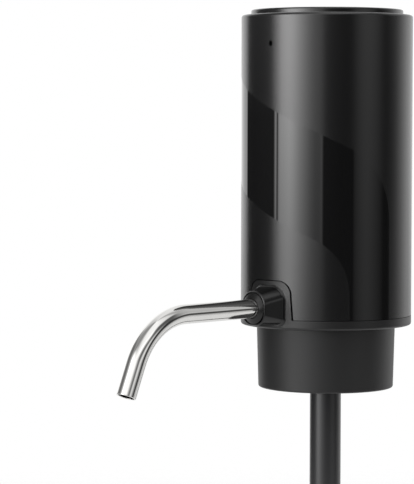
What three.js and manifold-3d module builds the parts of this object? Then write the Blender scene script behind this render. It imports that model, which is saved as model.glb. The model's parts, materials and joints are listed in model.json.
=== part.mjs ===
// Electric wine aerator: a battery air pump in a round housing that seats on a bottle. The pump's air drives
// the wine up a dip tube and out of a bent steel spout. Millimetres. The origin is the centre of the seat on
// the bottle's lip, +Z runs up the housing, and the spout leaves towards -Y.
import * as THREE from "three";
import { mergeVertices } from "three/addons/utils/BufferGeometryUtils.js";
import Module from "manifold-3d";

const wasm = await Module();
wasm.setup();

// Facets in a full turn, steps along the spout and steps round an edge
const facets = { skinSides: 40, fineSides: 26, innerSides: 15, pinSides: 8, spoutSteps: 18, edgeSteps: 3 };
const quarterTurn = Math.PI / 2;

// Clearances
const gap = 0.3; // between pieces that rest on each other
const fit = 0.12; // of a seal or slide on its own tube
const overrun = 1; // of a cut past the face that it opens

// Silicone stopper: a flange that seats on the bottle's lip, and a plug with sealing lips in its neck
const stopper = {
  flangeRadius: 15,
  flange: 2,
  plugRadius: 9.3,
  plugDepth: 14,
  lips: 3,
  lipReach: 0.6,
  lipHeight: 1.6,
  airHole: 1.1,
};

// Telescopic dip tube: each stage hangs in the one above it, held by a gland on that one's end.
// Drawn out by the travel, it still overlaps the stage above.
const dip = {
  outer: 4.2,
  wall: 0.45,
  step: 0.75,
  upperEnd: -102,
  travel: 80,
  overlap: 10,
  glandGrip: 4,
  glandWall: 0.9,
  glandLip: 2,
  footSkirt: 3.5,
  footSlot: 1.6,
};

// Collar that hides the bottle's mouth
const collar = { top: 18.65, bottom: 18.2, bore: 15.75, depth: 15, edge: 0.5 };

// Air pump, from its outlet cover up to the housing round its crank
const pump = {
  radius: 13.25,
  wall: 1.6,
  cover: 4.5,
  nozzle: 1.3,
  nozzleLength: 3.8,
  valvePlate: 1.8,
  diaphragm: 1.2,
  cups: 3,
  cupAngle: 30,
  cupRadius: 4.2,
  cupHeight: 2.1,
  cupPin: 1.2,
  body: 13.6,
};
const crank = { radius: 5, height: 3.2, pinRadius: 0.7, pinOffset: 1.2, pinLength: 3.4 };
const wobble = { arm: 2.6, thickness: 1.5, hub: 3.6, hubHeight: 4.4, floor: 1 };
const motor = {
  radius: 12.1,
  length: 28.7,
  wall: 1,
  cap: 0.8,
  capPlug: 2.3,
  bearing: 3.2,
  bearingHeight: 1.5,
  shaft: 1,
};
const rotor = {
  radius: 8.2,
  stack: 16,
  slot: 2.5,
  slotMouth: 0.6,
  slotAngles: [90, 210, 330],
  windings: 6.6,
  windingHeight: 1.4,
  commutator: 2.6,
};
const magnet = { wall: 1.9, height: 18, halfAngle: 62 };
const sleeve = { wall: 0.9, height: 21 };

// Round lithium cell beside the pump, with a welded tab on each end
const cell = { radius: 7.1, length: 50, tip: 0.9, tipRadius: 2.75, tab: 0.4, tabRadius: 5 };

// Housing: the pump and the cell side by side set its bore
const packing = 0.85; // spare width beside the pump and the cell
const housing = { wall: 1.8, topEdge: 0.75, lip: 0.75, lipFit: 0.25, ledge: 1.6, ledgeHeight: 1.4 };
const shellInner = pump.radius + cell.radius + packing;
const housingRadius = shellInner + housing.wall;
const cellX = shellInner - cell.radius - (packing * 2) / 3;
const pumpX = pump.radius + (packing * 2) / 3 - shellInner;

// Base: lower ring, floor and a spigot inside the shell, with a pad and a boss for the spout
const base = { ring: 2.5, edge: 0.65, floor: 2.7, spigot: 4.5, spigotWall: 1.5, seam: 0.12 };
const baseBottom = stopper.flange;
const seamZ = baseBottom + base.ring;
const floorTop = baseBottom + base.floor;
const spigotOuter = shellInner - gap;
const spigotInner = spigotOuter - base.spigotWall;
const spigotTop = seamZ + base.spigot;
const pad = { topHalf: 6.85, footHalf: 7.85, height: 12.7, corner: 3.4, depth: 3, slit: 0.35, topSlit: 0.15 };
const boss = {
  reach: 5.65,
  faceWidth: 8.3,
  faceHeight: 9.1,
  faceCorner: 3.75,
  footWidth: 11,
  footHeight: 9.6,
  footCorner: 3.3,
  footRise: 0.5,
  fillet: 0.8,
  chamfer: 0.35,
};
const bossFace = housingRadius + boss.reach;

// Bent steel spout, its silicone bushing and its O-ring
const spout = {
  outer: 2.5,
  wall: 0.4,
  rise: 5.7,
  inset: 13.65,
  straight: 25.25,
  bendRadius: 18.8,
  bendAngle: 67,
  tail: 8.7,
};
const spoutZ = baseBottom + spout.rise;
const spoutBore = spout.outer - spout.wall;
const bushing = { wall: 1, proud: 1.75, shank: 3.2, shankWall: 0.43 };
const oRing = { wire: 0.6, inset: 5.2 };
const duct = { wall: 1.6, nippleWall: 1.1, nippleDepth: 10 };
const ductOuter = spout.outer + duct.wall;

// Air line from the pump's nozzle down to the stopper's air hole
const airLine = { bore: 0.7, nippleWall: 0.8, nippleHeight: 3.5 };
const valve = { wall: 1.1, height: 6, barb: 1.3, barbLength: 2.2, bore: 0.6 };
const hose = { wall: 0.6, length: 6.4 };
const stopperBore = dip.outer + gap;
const airX = -(stopperBore + stopper.plugRadius) / 2;
const valveBottom = floorTop + gap;
const valveTop = valveBottom + valve.height;
const hoseBottom = valveTop + gap;
const hoseTop = hoseBottom + hose.length;
const hoseInner = Math.max(valve.barb, pump.nozzle) + gap;

// Chassis: a floor plate on legs, and open cradles round the pump and the cell
const chassis = {
  plate: 1.6,
  cradleWall: 1.25,
  leg: 2.6,
  mouthShare: 0.6,
  windowShare: 0.55,
  boss: 2.4,
  bossDepth: 7,
  pumpScrewAngles: [75, -50],
  cellScrewAngle: 120,
};
const pumpBottom = hoseTop + gap;
const plateTop = pumpBottom - gap;
const plateBottom = plateTop - chassis.plate;
const coverTop = pumpBottom + pump.cover;
const valvePlateBottom = coverTop + gap;
const diaphragmBottom = valvePlateBottom + pump.valvePlate + gap;
const pumpBodyBottom = diaphragmBottom + pump.diaphragm + gap;
const pumpBodyTop = pumpBodyBottom + pump.body;
const canBottom = pumpBodyTop + gap;
const canTop = canBottom + motor.length;
const capTop = canTop + gap + motor.cap;
const cellBottom = pumpBottom + cell.tab + gap;
const cellTop = cellBottom + cell.length;
const topTabBottom = cellTop + cell.tip + gap;
const chassisTop = Math.max(capTop + gap, topTabBottom + cell.tab);
const pumpCradle = pump.radius + gap;
const cellCradle = cell.radius + gap;

// Deck over the chassis, the board on it and the button above
const deck = { plate: 1.5, post: 2.2, postHeight: 2.1, postInset: 2.9, leadHole: 1.2 };
const board = {
  inset: 0.7,
  plate: 1.6,
  charge: 1,
  chargeHalf: 7,
  chargeDepth: 10,
  chargeClearance: 0.9,
  chargeLift: 1.05,
};
const led = { width: 3, depth: 1.6, height: 2.3, inset: 0.5 };
const pinhole = {
  width: 1,
  height: 1.35,
  offset: 0.65,
  fit: 0.08,
  flange: 0.5,
  flangeDepth: 0.7,
  recess: 0.8,
};
const tact = { width: 6, height: 3.5, plunger: 1.6, plungerProud: 1.2, plungerDepth: 1.4 };
const button = { radius: 20.4, flange: 1.4, flangeLift: 1.7, proud: 1.4, plate: 1.85, skirt: 1.5, stem: 2.5 };
const dish = { rim: 1.8, depth: 0.6, edge: 0.3 };
const dishShares = [0.85, 0.6, 0.3]; // of its radius, where its curve has corners
const buttonTravel = 0.8;
const spring = { radius: 5.6, wire: 0.3, turns: 4, stepsPerTurn: 8 };
const deckBottom = chassisTop + gap;
const deckTop = deckBottom + deck.plate;
const ledgeBottom = deckTop + gap;
const boardBottom = deckTop + deck.postHeight;
const boardTop = boardBottom + board.plate;
const boardRadius = shellInner - housing.ledge - board.inset;
const postCircle = boardRadius - deck.postInset;
const tactTop = boardTop + tact.height;
const stemBottom = tactTop + tact.plungerProud + gap;
const flangeBottom = stemBottom + button.flangeLift;
const flangeTop = flangeBottom + button.flange;
const lipBottom = flangeTop + gap;
const shellTop = lipBottom + housing.lip;
const buttonTop = shellTop + button.proud;
const buttonUnder = buttonTop - button.plate;
const ledFront = boardRadius - led.inset;
const ledZ = boardTop + led.height / 2;

// Charging socket in the rear wall, over its own small board
const socket = {
  width: 8.94,
  height: 3.26,
  depth: 7.3,
  wall: 0.3,
  recess: 0.7,
  tongue: 0.7,
  tongueShare: 0.75,
};
const chargeBottom = spigotTop + board.chargeLift;
const chargeTop = chargeBottom + board.charge;
const chargeRear = spigotInner - board.chargeClearance;
const chargeFront = chargeRear - board.chargeDepth;
const socketZ = chargeTop + socket.height / 2;

// Wiring
const lead = { radius: 0.6, spacing: 6, sides: 6, steps: 8 };
const ribbon = { width: 3, thickness: 0.6, plug: 1.6, plugHeight: 1.5, reach: 2.2, angle: 56.5 };

// Screws: head radius, head height, shank radius and length, and the circles that they stand on
const screwFit = 0.2;
const baseScrew = { head: 2.1, headHeight: 1.2, shank: 1.1, length: 10, angles: [25, 155, 235, 305] };
const collarScrew = { head: 1.7, headHeight: 1.2, shank: 0.8, length: 7, angles: [0, 120, 240] };
const boardScrew = { head: 1.7, headHeight: 1, shank: 0.7, length: 4.4, angles: [60, 180, 300] };
const deckScrew = { head: 1.9, headHeight: 1.1, shank: 0.8, length: 6 };
const baseScrewCircle = (stopper.plugRadius + stopper.flangeRadius) / 2;
const collarScrewCircle = (collar.bore + collar.top) / 2;

// Finishes
const finish = {
  satinBlack: { color: 0x1b1b1c, roughness: 0.38, metalness: 0 },
  softBlack: { color: 0x222223, roughness: 0.7, metalness: 0 },
  silicone: { color: 0x2a2a2b, roughness: 0.6, metalness: 0 },
  steel: { color: 0xd0d0ce, roughness: 0.12, metalness: 1 },
  smoke: { color: 0x3a3a3c, roughness: 0.4, metalness: 0 },
  lens: { color: 0xe8eef2, roughness: 0.2, metalness: 0 },
  nylon: { color: 0xdedbd2, roughness: 0.5, metalness: 0 },
  greyPlastic: { color: 0x6d7075, roughness: 0.5, metalness: 0 },
  circuitBoard: { color: 0x1f5a34, roughness: 0.5, metalness: 0 },
  cellWrap: { color: 0x2f6db3, roughness: 0.4, metalness: 0 },
  zinc: { color: 0xa9abad, roughness: 0.35, metalness: 1 },
  copper: { color: 0xb06a3b, roughness: 0.35, metalness: 1 },
  ferrite: { color: 0x3d3d3f, roughness: 0.6, metalness: 0 },
  redWire: { color: 0xb3261e, roughness: 0.5, metalness: 0 },
  clearHose: { color: 0xd9dcd8, roughness: 0.4, metalness: 0 },
};

// Every shape becomes a closed solid once its shared corners are merged and its collapsed triangles dropped
function solid(shape) {
  if (!shape.isBufferGeometry) return shape;
  const bare = shape.clone();
  bare.deleteAttribute("normal");
  bare.deleteAttribute("uv");
  const merged = mergeVertices(bare);
  const corners = merged.index.array;
  const build = (flip) => {
    const triangles = [];
    for (let i = 0; i < corners.length; i += 3) {
      const [a, b, c] = [corners[i], corners[i + 1], corners[i + 2]];
      if (a === b || b === c || c === a) continue;
      triangles.push(a, flip ? c : b, flip ? b : c);
    }
    return new wasm.Manifold(
      new wasm.Mesh({
        numProp: 3,
        vertProperties: merged.attributes.position.array,
        triVerts: new Uint32Array(triangles),
      }),
    );
  };
  const made = build(false);
  return made.volume() < 0 ? build(true) : made;
}

const join = (first, ...others) => others.reduce((whole, other) => whole.add(solid(other)), solid(first));
const cut = (first, ...others) => others.reduce((whole, other) => whole.subtract(solid(other)), solid(first));
const common = (first, second) => solid(first).intersect(solid(second));

// Profiles are [radius, height] pairs, turned about the upright axis at x, y
function revolve(profile, sides, x = 0, y = 0) {
  const points = [...profile, profile[0]].map(([r, z]) => new THREE.Vector2(r, z));
  return new THREE.LatheGeometry(points, sides).rotateX(quarterTurn).translate(x, y, 0);
}

// The same, turned about the spout's own axis, with the height measured outwards
function revolveOutwards(profile, sides) {
  return revolve(profile, sides).rotateX(quarterTurn).translate(0, 0, spoutZ);
}

function rod(radius, from, to, sides, x = 0, y = 0) {
  const length = to - from;
  return new THREE.CylinderGeometry(radius, radius, length, sides)
    .rotateX(quarterTurn)
    .translate(x, y, from + length / 2);
}

// A rod along -Y at the spout's height, between two distances from the axis
function rodOutwards(radius, from, to, sides) {
  return rod(radius, from, to, sides).rotateX(quarterTurn).translate(0, 0, spoutZ);
}

const tube = (inner, outer, from, to, sides, x = 0, y = 0) =>
  revolve([[inner, from], [outer, from], [outer, to], [inner, to]], sides, x, y);

const block = ([x0, x1], [y0, y1], [z0, z1]) =>
  new THREE.BoxGeometry(x1 - x0, y1 - y0, z1 - z0).translate((x0 + x1) / 2, (y0 + y1) / 2, (z0 + z1) / 2);

// A quarter round from one angle to the next about a centre, for a profile
function arc([r, z], radius, fromDegrees, toDegrees, steps = facets.edgeSteps) {
  return Array.from({ length: steps + 1 }, (_, i) => {
    const angle = THREE.MathUtils.degToRad(fromDegrees + ((toDegrees - fromDegrees) * i) / steps);
    return [r + radius * Math.cos(angle), z + radius * Math.sin(angle)];
  });
}

const polar = (radius, degrees, x = 0) => {
  const angle = THREE.MathUtils.degToRad(degrees);
  return [x + radius * Math.cos(angle), radius * Math.sin(angle)];
};

// An outline in X and Z, drawn out towards -Y between two distances from the axis
function extrudeOutwards(shape, from, to, curveSegments = facets.edgeSteps) {
  return new THREE.ExtrudeGeometry(shape, { depth: to - from, bevelEnabled: false, curveSegments })
    .rotateX(quarterTurn)
    .translate(0, -from, 0);
}

function extrudeUp(shape, from, to, curveSegments = facets.edgeSteps) {
  const options = { depth: to - from, bevelEnabled: false, curveSegments };
  return new THREE.ExtrudeGeometry(shape, options).translate(0, 0, from);
}

// Two half rounds joined by straight sides: the outline of a pinhole lens or of the charging socket
function stadium(width, height, centre, across = 0) {
  const shape = new THREE.Shape();
  const upright = height > width;
  const radius = Math.min(width, height) / 2;
  const half = Math.abs(width - height) / 2;
  const rise = upright ? half : 0;
  const reach = upright ? 0 : half;
  const start = upright ? 0 : -quarterTurn;
  shape.absarc(across + reach, centre + rise, radius, start, start + Math.PI, false);
  shape.absarc(across - reach, centre - rise, radius, start + Math.PI, start + 2 * Math.PI, false);
  return shape;
}

// Arch of the pad and of the notch round it, which is wider at its sides than over its top
function arch(bottom, side, rise) {
  const cornerZ = baseBottom + pad.height - pad.corner;
  const cornerX = pad.topHalf - pad.corner;
  const reach = pad.corner + side;
  const height = pad.corner + rise;
  const shape = new THREE.Shape();
  shape.moveTo(-pad.footHalf - side, bottom);
  shape.lineTo(pad.footHalf + side, bottom);
  shape.lineTo(pad.topHalf + side, cornerZ);
  shape.absellipse(cornerX, cornerZ, reach, height, 0, quarterTurn, false);
  shape.absellipse(-cornerX, cornerZ, reach, height, quarterTurn, Math.PI, false);
  return shape;
}

// Closed skin through rings of equal count, capped by fans
function loft(rings) {
  const positions = [];
  const triangle = (...corners) => corners.forEach((corner) => positions.push(corner.x, corner.y, corner.z));
  const count = rings[0].length;
  const cap = (ring, flip) => {
    const middle = ring.reduce((sum, corner) => sum.add(corner), new THREE.Vector3()).divideScalar(count);
    ring.forEach((corner, i) => {
      const next = ring[(i + 1) % count];
      triangle(middle, flip ? next : corner, flip ? corner : next);
    });
  };
  cap(rings[0], true);
  rings.slice(1).forEach((ring, k) => {
    const below = rings[k];
    for (let i = 0; i < count; i++) {
      const j = (i + 1) % count;
      triangle(below[i], below[j], ring[j]);
      triangle(below[i], ring[j], ring[i]);
    }
  });
  cap(rings.at(-1), false);
  return new THREE.BufferGeometry().setAttribute("position", new THREE.Float32BufferAttribute(positions, 3));
}

const node = (name, shape, look) => {
  const mesh = solid(shape).getMesh();
  const geometry = new THREE.BufferGeometry();
  geometry.setAttribute("position", new THREE.BufferAttribute(mesh.vertProperties, 3));
  geometry.setIndex(new THREE.BufferAttribute(mesh.triVerts, 1));
  const flat = geometry.toNonIndexed();
  flat.computeVertexNormals();
  const made = new THREE.Mesh(flat, new THREE.MeshStandardMaterial(look));
  made.name = name;
  return made;
};

// Outer shell: wall with a rounded top edge, retaining lip, ledge on the deck, notch, pinhole and socket slot
function outerShell() {
  const lipRadius = button.radius + housing.lipFit;
  const bottom = seamZ + base.seam;
  const ledgeRadius = shellInner - housing.ledge;
  const profile = [
    [shellInner, bottom],
    [housingRadius, bottom],
    ...arc([housingRadius - housing.topEdge, shellTop - housing.topEdge], housing.topEdge, 0, 90),
    [lipRadius, shellTop],
    [lipRadius, lipBottom],
    [shellInner, lipBottom],
    [shellInner, ledgeBottom + housing.ledgeHeight + housing.ledge],
    [ledgeRadius, ledgeBottom + housing.ledgeHeight],
    [ledgeRadius, ledgeBottom],
    [shellInner, ledgeBottom],
  ];
  const outside = housingRadius + overrun;
  const slot = stadium(socket.width + 2 * gap, socket.height + 2 * gap, socketZ);
  return cut(
    revolve(profile, facets.skinSides),
    extrudeOutwards(arch(bottom - overrun, pad.slit, pad.topSlit), housingRadius / 2, outside),
    extrudeOutwards(stadium(pinhole.width, pinhole.height, ledZ, pinhole.offset), housingRadius / 2, outside),
    extrudeOutwards(slot, -outside, -housingRadius / 2, facets.edgeSteps + 1),
  );
}

// Rings of the spout boss: a fillet that follows the round pad, then a straight taper to the chamfered face
function spoutBoss() {
  const ring = (width, height, corner, middle, grow, distanceAt) => {
    const points = [];
    for (const [sideX, sideZ, start] of [[1, 1, 0], [-1, 1, 90], [-1, -1, 180], [1, -1, 270]]) {
      const centre = [sideX * (width / 2 - corner), middle + sideZ * (height / 2 - corner)];
      for (const [x, z] of arc(centre, corner + grow, start, start + 90, facets.edgeSteps + 1)) {
        points.push(new THREE.Vector3(x, -distanceAt(x), z));
      }
    }
    return points;
  };
  const onPad = (x) => Math.sqrt(housingRadius ** 2 - x ** 2);
  const { footWidth, footHeight, footCorner, faceWidth, faceHeight, faceCorner, fillet, chamfer } = boss;
  const footZ = spoutZ + boss.footRise;
  const foot = (grow, rise) => ring(footWidth, footHeight, footCorner, footZ, grow, (x) => onPad(x) + rise);
  const face = (grow, distance) => ring(faceWidth, faceHeight, faceCorner, spoutZ, grow, () => distance);
  return loft([
    foot(fillet, -pad.depth),
    ...arc([0, 0], fillet, 0, 90).map(([cosine, sine]) => foot(fillet - sine, fillet - cosine)),
    face(0, bossFace - chamfer),
    face(-chamfer, bossFace),
  ]);
}

// Base housing: ring, floor, spigot, pad, boss, wine duct and nipple, air nipple, board posts and screw holes
function baseHousing() {
  const profile = [
    [0, baseBottom],
    ...arc([housingRadius - base.edge, baseBottom + base.edge], base.edge, -90, 0),
    [housingRadius, seamZ],
    [spigotOuter, seamZ],
    [spigotOuter, spigotTop],
    [spigotInner, spigotTop],
    [spigotInner, floorTop],
    [0, floorTop],
  ];
  const padTop = baseBottom + pad.height;
  const padBlock = common(
    extrudeOutwards(arch(seamZ - base.edge, 0, 0), housingRadius - pad.depth, housingRadius + overrun),
    rod(housingRadius, baseBottom, padTop + overrun, facets.skinSides),
  );
  const nippleBottom = baseBottom - duct.nippleDepth;
  const airNipple = airLine.bore + airLine.nippleWall;
  const postX = board.chargeHalf - lead.radius * 3;
  const postY = (chargeFront + chargeRear) / 2;
  const bushingHole = spout.outer + fit + bushing.shankWall + fit;
  const oRingHole = spout.outer + 2 * (fit + oRing.wire);
  const oRingAt = bossFace - oRing.inset;
  const oRingHalf = oRing.wire + fit;
  const tubeSeat = bossFace - spout.inset;
  const body = join(
    revolve(profile, facets.skinSides),
    padBlock,
    spoutBoss(),
    rodOutwards(ductOuter, -ductOuter, housingRadius - pad.depth + overrun, facets.innerSides),
    rod(spoutBore + duct.nippleWall, nippleBottom, floorTop, facets.innerSides),
    rod(airNipple, baseBottom, floorTop + airLine.nippleHeight, facets.pinSides, airX),
    ...[-postX, postX].map((x) =>
      rod(lead.radius * 2, baseBottom + base.edge, chargeBottom, facets.pinSides, x, postY),
    ),
  );
  const screwHoles = baseScrew.angles.flatMap((angle) => {
    const at = polar(baseScrewCircle, angle);
    const seat = baseBottom + baseScrew.headHeight;
    return [
      rod(baseScrew.shank + screwFit, baseBottom - overrun, floorTop + overrun, facets.pinSides, ...at),
      rod(baseScrew.head + screwFit, baseBottom - overrun, seat, facets.pinSides, ...at),
    ];
  });
  const collarHoles = collarScrew.angles.map((angle) =>
    rod(
      collarScrew.shank + screwFit,
      baseBottom - overrun,
      floorTop + overrun,
      facets.pinSides,
      ...polar(collarScrewCircle, angle),
    ),
  );
  return cut(
    body,
    rodOutwards(spout.outer + fit, tubeSeat, bossFace + overrun, facets.innerSides),
    rodOutwards(spoutBore, -spoutBore, tubeSeat + overrun, facets.innerSides),
    rodOutwards(bushingHole, bossFace - bushing.shank - gap, bossFace + overrun, facets.innerSides),
    rodOutwards(oRingHole, oRingAt - oRingHalf, oRingAt + oRingHalf, facets.innerSides),
    rod(spoutBore, nippleBottom - overrun, spoutZ, facets.innerSides),
    rod(airLine.bore, baseBottom - overrun, floorTop + airLine.nippleHeight + overrun, facets.pinSides, airX),
    ...screwHoles,
    ...collarHoles,
  );
}

// Bushing in the boss: a rounded head in front of the face, on a shank inside it
function spoutBushing() {
  const inner = spout.outer + fit;
  const head = inner + bushing.wall;
  const shank = inner + bushing.shankWall;
  const front = bossFace + bushing.proud;
  return revolveOutwards(
    [
      [inner, bossFace - bushing.shank],
      [shank, bossFace - bushing.shank],
      [shank, bossFace],
      [head, bossFace],
      ...arc([head - bushing.wall, front - bushing.wall], bushing.wall, 0, 90).slice(0, -1),
      [inner, front],
    ],
    facets.innerSides,
  );
}

function spoutRing() {
  const centre = [spout.outer + fit + oRing.wire, bossFace - oRing.inset];
  const section = arc(centre, oRing.wire, 0, 360, facets.edgeSteps * 2).slice(0, -1);
  return revolveOutwards(section, facets.innerSides);
}

// Centre line of the spout: straight out, round the bend and straight down to the tip
class SpoutLine extends THREE.Curve {
  getPoint(share, target = new THREE.Vector3()) {
    const start = bossFace - spout.inset + gap;
    const straight = bossFace + spout.straight - start;
    const turn = THREE.MathUtils.degToRad(spout.bendAngle);
    const bendLength = spout.bendRadius * turn;
    const along = share * (straight + bendLength + spout.tail);
    const angle = THREE.MathUtils.clamp((along - straight) / spout.bendRadius, 0, turn);
    const rest = Math.max(along - straight - bendLength, 0);
    const bentOut = spout.bendRadius * Math.sin(angle) + rest * Math.cos(angle);
    const bentDown = spout.bendRadius * (1 - Math.cos(angle)) + rest * Math.sin(angle);
    return target.set(0, -(start + Math.min(along, straight) + bentOut), spoutZ - bentDown);
  }
}

function spoutTube() {
  const section = new THREE.Shape().absarc(0, 0, spout.outer, 0, 2 * Math.PI);
  section.holes.push(new THREE.Path().absarc(0, 0, spoutBore, 0, 2 * Math.PI));
  return new THREE.ExtrudeGeometry(section, {
    extrudePath: new SpoutLine(),
    steps: facets.spoutSteps,
    curveSegments: facets.pinSides,
    bevelEnabled: false,
  });
}

// Collar: tapered sleeve with a rounded lower edge and a shallow seat round the stopper's flange
function neckCollar() {
  const rim = -collar.depth;
  const seat = stopper.flangeRadius + gap;
  const profile = [
    [seat, baseBottom],
    [seat, -gap],
    [collar.bore, -gap - (collar.bore - seat)],
    [collar.bore, rim],
    ...arc([collar.bottom - collar.edge, rim + collar.edge], collar.edge, -90, 0),
    [collar.top, baseBottom],
  ];
  const hole = collarScrew.shank + screwFit;
  const depth = baseBottom - collarScrew.length;
  return cut(
    revolve(profile, facets.skinSides),
    ...collarScrew.angles.map((angle) =>
      rod(hole, depth, baseBottom + overrun, facets.pinSides, ...polar(collarScrewCircle, angle)),
    ),
  );
}

// Stopper: flange, and a plug whose lips flare upwards against the neck
function bottleSeal() {
  const { plugRadius, plugDepth, lipReach, lipHeight, lips } = stopper;
  const pitch = (plugDepth - lipHeight) / lips;
  const lipPoints = Array.from({ length: lips }, (_, i) => {
    const top = -pitch * (i + 1 - lipReach / lipHeight);
    return [
      [plugRadius, top],
      [plugRadius + lipReach, top],
      [plugRadius, top - lipHeight],
    ];
  }).flat();
  const profile = [
    [stopperBore, baseBottom],
    [stopperBore, -plugDepth],
    [plugRadius - lipReach, -plugDepth],
    ...lipPoints.reverse(),
    [plugRadius, 0],
    [stopper.flangeRadius, 0],
    [stopper.flangeRadius, baseBottom],
  ];
  return cut(
    revolve(profile, facets.fineSides),
    rod(stopper.airHole, -plugDepth - overrun, baseBottom + overrun, facets.pinSides, airX),
  );
}

// Dip tube stages, from the one in the stopper to the one that reaches the bottle's floor
const glandLength = dip.glandGrip + gap + dip.glandLip;
const stageRadius = [0, 1, 2].map((i) => dip.outer - i * dip.step);
const upperGlandBottom = dip.upperEnd + dip.glandGrip - glandLength;
const middleEnd = upperGlandBottom - gap - dip.glandGrip;
const lowerGlandBottom = middleEnd + dip.glandGrip - glandLength;
const lowerEnd = lowerGlandBottom - gap - dip.glandGrip;
const footTop = lowerGlandBottom - gap;
const middleTop = dip.upperEnd + dip.overlap + dip.travel;
const lowerTop = middleEnd + dip.overlap + dip.travel;

const stageTube = (index, top, bottom) =>
  tube(stageRadius[index] - dip.wall, stageRadius[index], bottom, top, facets.innerSides);

function gland(index, bottom) {
  const socketRadius = stageRadius[index] + fit;
  const slide = stageRadius[index + 1] + fit;
  const outer = socketRadius + dip.glandWall;
  const shelf = bottom + dip.glandLip;
  const top = bottom + glandLength;
  const chamfer = dip.glandWall / 2;
  return revolve(
    [
      [slide, bottom],
      [outer - chamfer, bottom],
      [outer, bottom + chamfer],
      [outer, top - chamfer],
      [outer - chamfer, top],
      [socketRadius, top],
      [socketRadius, shelf],
      [slide, shelf],
    ],
    facets.innerSides,
  );
}

// Foot: a cap on the lowest stage whose slotted skirt lets wine in when it stands on glass
function intakeFoot() {
  const socketRadius = stageRadius[2] + fit;
  const outer = socketRadius + dip.glandWall;
  const shelf = lowerEnd - gap;
  const bottom = shelf - dip.footSkirt;
  const ring = revolve(
    [
      [stageRadius[2] - dip.wall, shelf],
      [socketRadius, shelf],
      [socketRadius, footTop],
      [outer, footTop],
      [outer, bottom],
      [outer - dip.glandWall, bottom],
      [stageRadius[2] - dip.wall, shelf - dip.glandWall],
    ],
    facets.innerSides,
  );
  const half = dip.footSlot / 2;
  const slotTop = shelf - dip.glandWall - half;
  const span = [-outer - overrun, outer + overrun];
  return cut(
    ring,
    block(span, [-half, half], [bottom - overrun, slotTop]),
    block([-half, half], span, [bottom - overrun, slotTop]),
  );
}

// Check valve on the base's air nipple, and the short hose from it to the pump's nozzle
function checkValve() {
  const socketRadius = airLine.bore + airLine.nippleWall + fit;
  const outer = socketRadius + valve.wall;
  const socketTop = floorTop + airLine.nippleHeight + gap;
  return revolve(
    [
      [socketRadius, valveBottom],
      [outer, valveBottom],
      [outer, valveTop],
      [valve.barb, valveTop],
      [valve.barb, valveTop + valve.barbLength],
      [valve.bore, valveTop + valve.barbLength],
      [valve.bore, socketTop],
      [socketRadius, socketTop],
    ],
    facets.innerSides,
    airX,
  );
}

const airHose = () => tube(hoseInner, hoseInner + hose.wall, hoseBottom, hoseTop, facets.innerSides, airX);

// Pump stack
const cupCircle = (pump.radius - pump.wall) / Math.sqrt(3);
const cupAngles = Array.from({ length: pump.cups }, (_, i) => pump.cupAngle + (i * 360) / pump.cups);
const atCups = (make) => cupAngles.map((angle) => make(...polar(cupCircle, angle, pumpX)));

function pumpCover() {
  const bore = pump.nozzle / 2;
  return cut(
    join(
      revolve(
        [
          [0, pumpBottom],
          [pump.radius - pump.wall, pumpBottom],
          [pump.radius, pumpBottom + pump.wall],
          [pump.radius, coverTop],
          [0, coverTop],
        ],
        facets.innerSides,
        pumpX,
      ),
      rod(pump.nozzle, pumpBottom - pump.nozzleLength, pumpBottom + pump.wall, facets.pinSides, airX),
    ),
    rod(pump.radius - pump.wall, coverTop - pump.wall, coverTop + overrun, facets.innerSides, pumpX),
    rod(bore, pumpBottom - pump.nozzleLength - overrun, coverTop, facets.pinSides, airX),
  );
}

function valvePlate() {
  const top = valvePlateBottom + pump.valvePlate;
  return cut(
    rod(pump.radius, valvePlateBottom, top, facets.innerSides, pumpX),
    ...atCups((x, y) => rod(pump.cupPin, valvePlateBottom - overrun, top + overrun, facets.pinSides, x, y)),
  );
}

function pumpDiaphragm() {
  const top = diaphragmBottom + pump.diaphragm;
  const cupTop = top + pump.cupHeight;
  return join(
    rod(pump.radius, diaphragmBottom, top, facets.innerSides, pumpX),
    ...atCups((x, y) =>
      revolve(
        [
          [0, diaphragmBottom],
          [pump.cupRadius, diaphragmBottom],
          [pump.cupRadius, top],
          [pump.cupRadius - pump.cupPin, cupTop],
          [pump.cupPin, cupTop],
          [pump.cupPin, cupTop + wobble.thickness],
          [0, cupTop + wobble.thickness],
        ],
        facets.pinSides,
        x,
        y,
      ),
    ),
  );
}

// Wobble plate: a hub with a loose socket for the crank's pin, and one arm over each cup
const wobbleBottom = diaphragmBottom + pump.diaphragm + pump.cupHeight + wobble.thickness + gap;
const wobbleTop = wobbleBottom + wobble.hubHeight;
const crankBottom = wobbleTop + gap;
const crankTop = crankBottom + crank.height;

function wobblePlate() {
  const armTop = wobbleBottom + wobble.thickness;
  const arms = cupAngles.map((angle) =>
    block([0, cupCircle], [-wobble.arm / 2, wobble.arm / 2], [wobbleBottom, armTop])
      .rotateZ(THREE.MathUtils.degToRad(angle))
      .translate(pumpX, 0, 0),
  );
  return cut(
    join(
      rod(wobble.hub, wobbleBottom, wobbleTop, facets.pinSides, pumpX),
      ...arms,
      ...atCups((x, y) => rod(wobble.arm, wobbleBottom, armTop, facets.pinSides, x, y)),
    ),
    rod(
      crank.pinOffset + crank.pinRadius + gap,
      wobbleBottom + wobble.floor,
      wobbleTop + overrun,
      facets.innerSides,
      pumpX,
    ),
  );
}

function pumpBody() {
  const inner = pump.radius - pump.wall;
  return revolve(
    [
      [inner, pumpBodyBottom],
      [pump.radius, pumpBodyBottom],
      [pump.radius, pumpBodyTop],
      [motor.bearing + gap, pumpBodyTop],
      [motor.bearing + gap, pumpBodyTop - pump.wall],
      [inner, pumpBodyTop - pump.wall],
    ],
    facets.innerSides,
    pumpX,
  );
}

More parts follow.
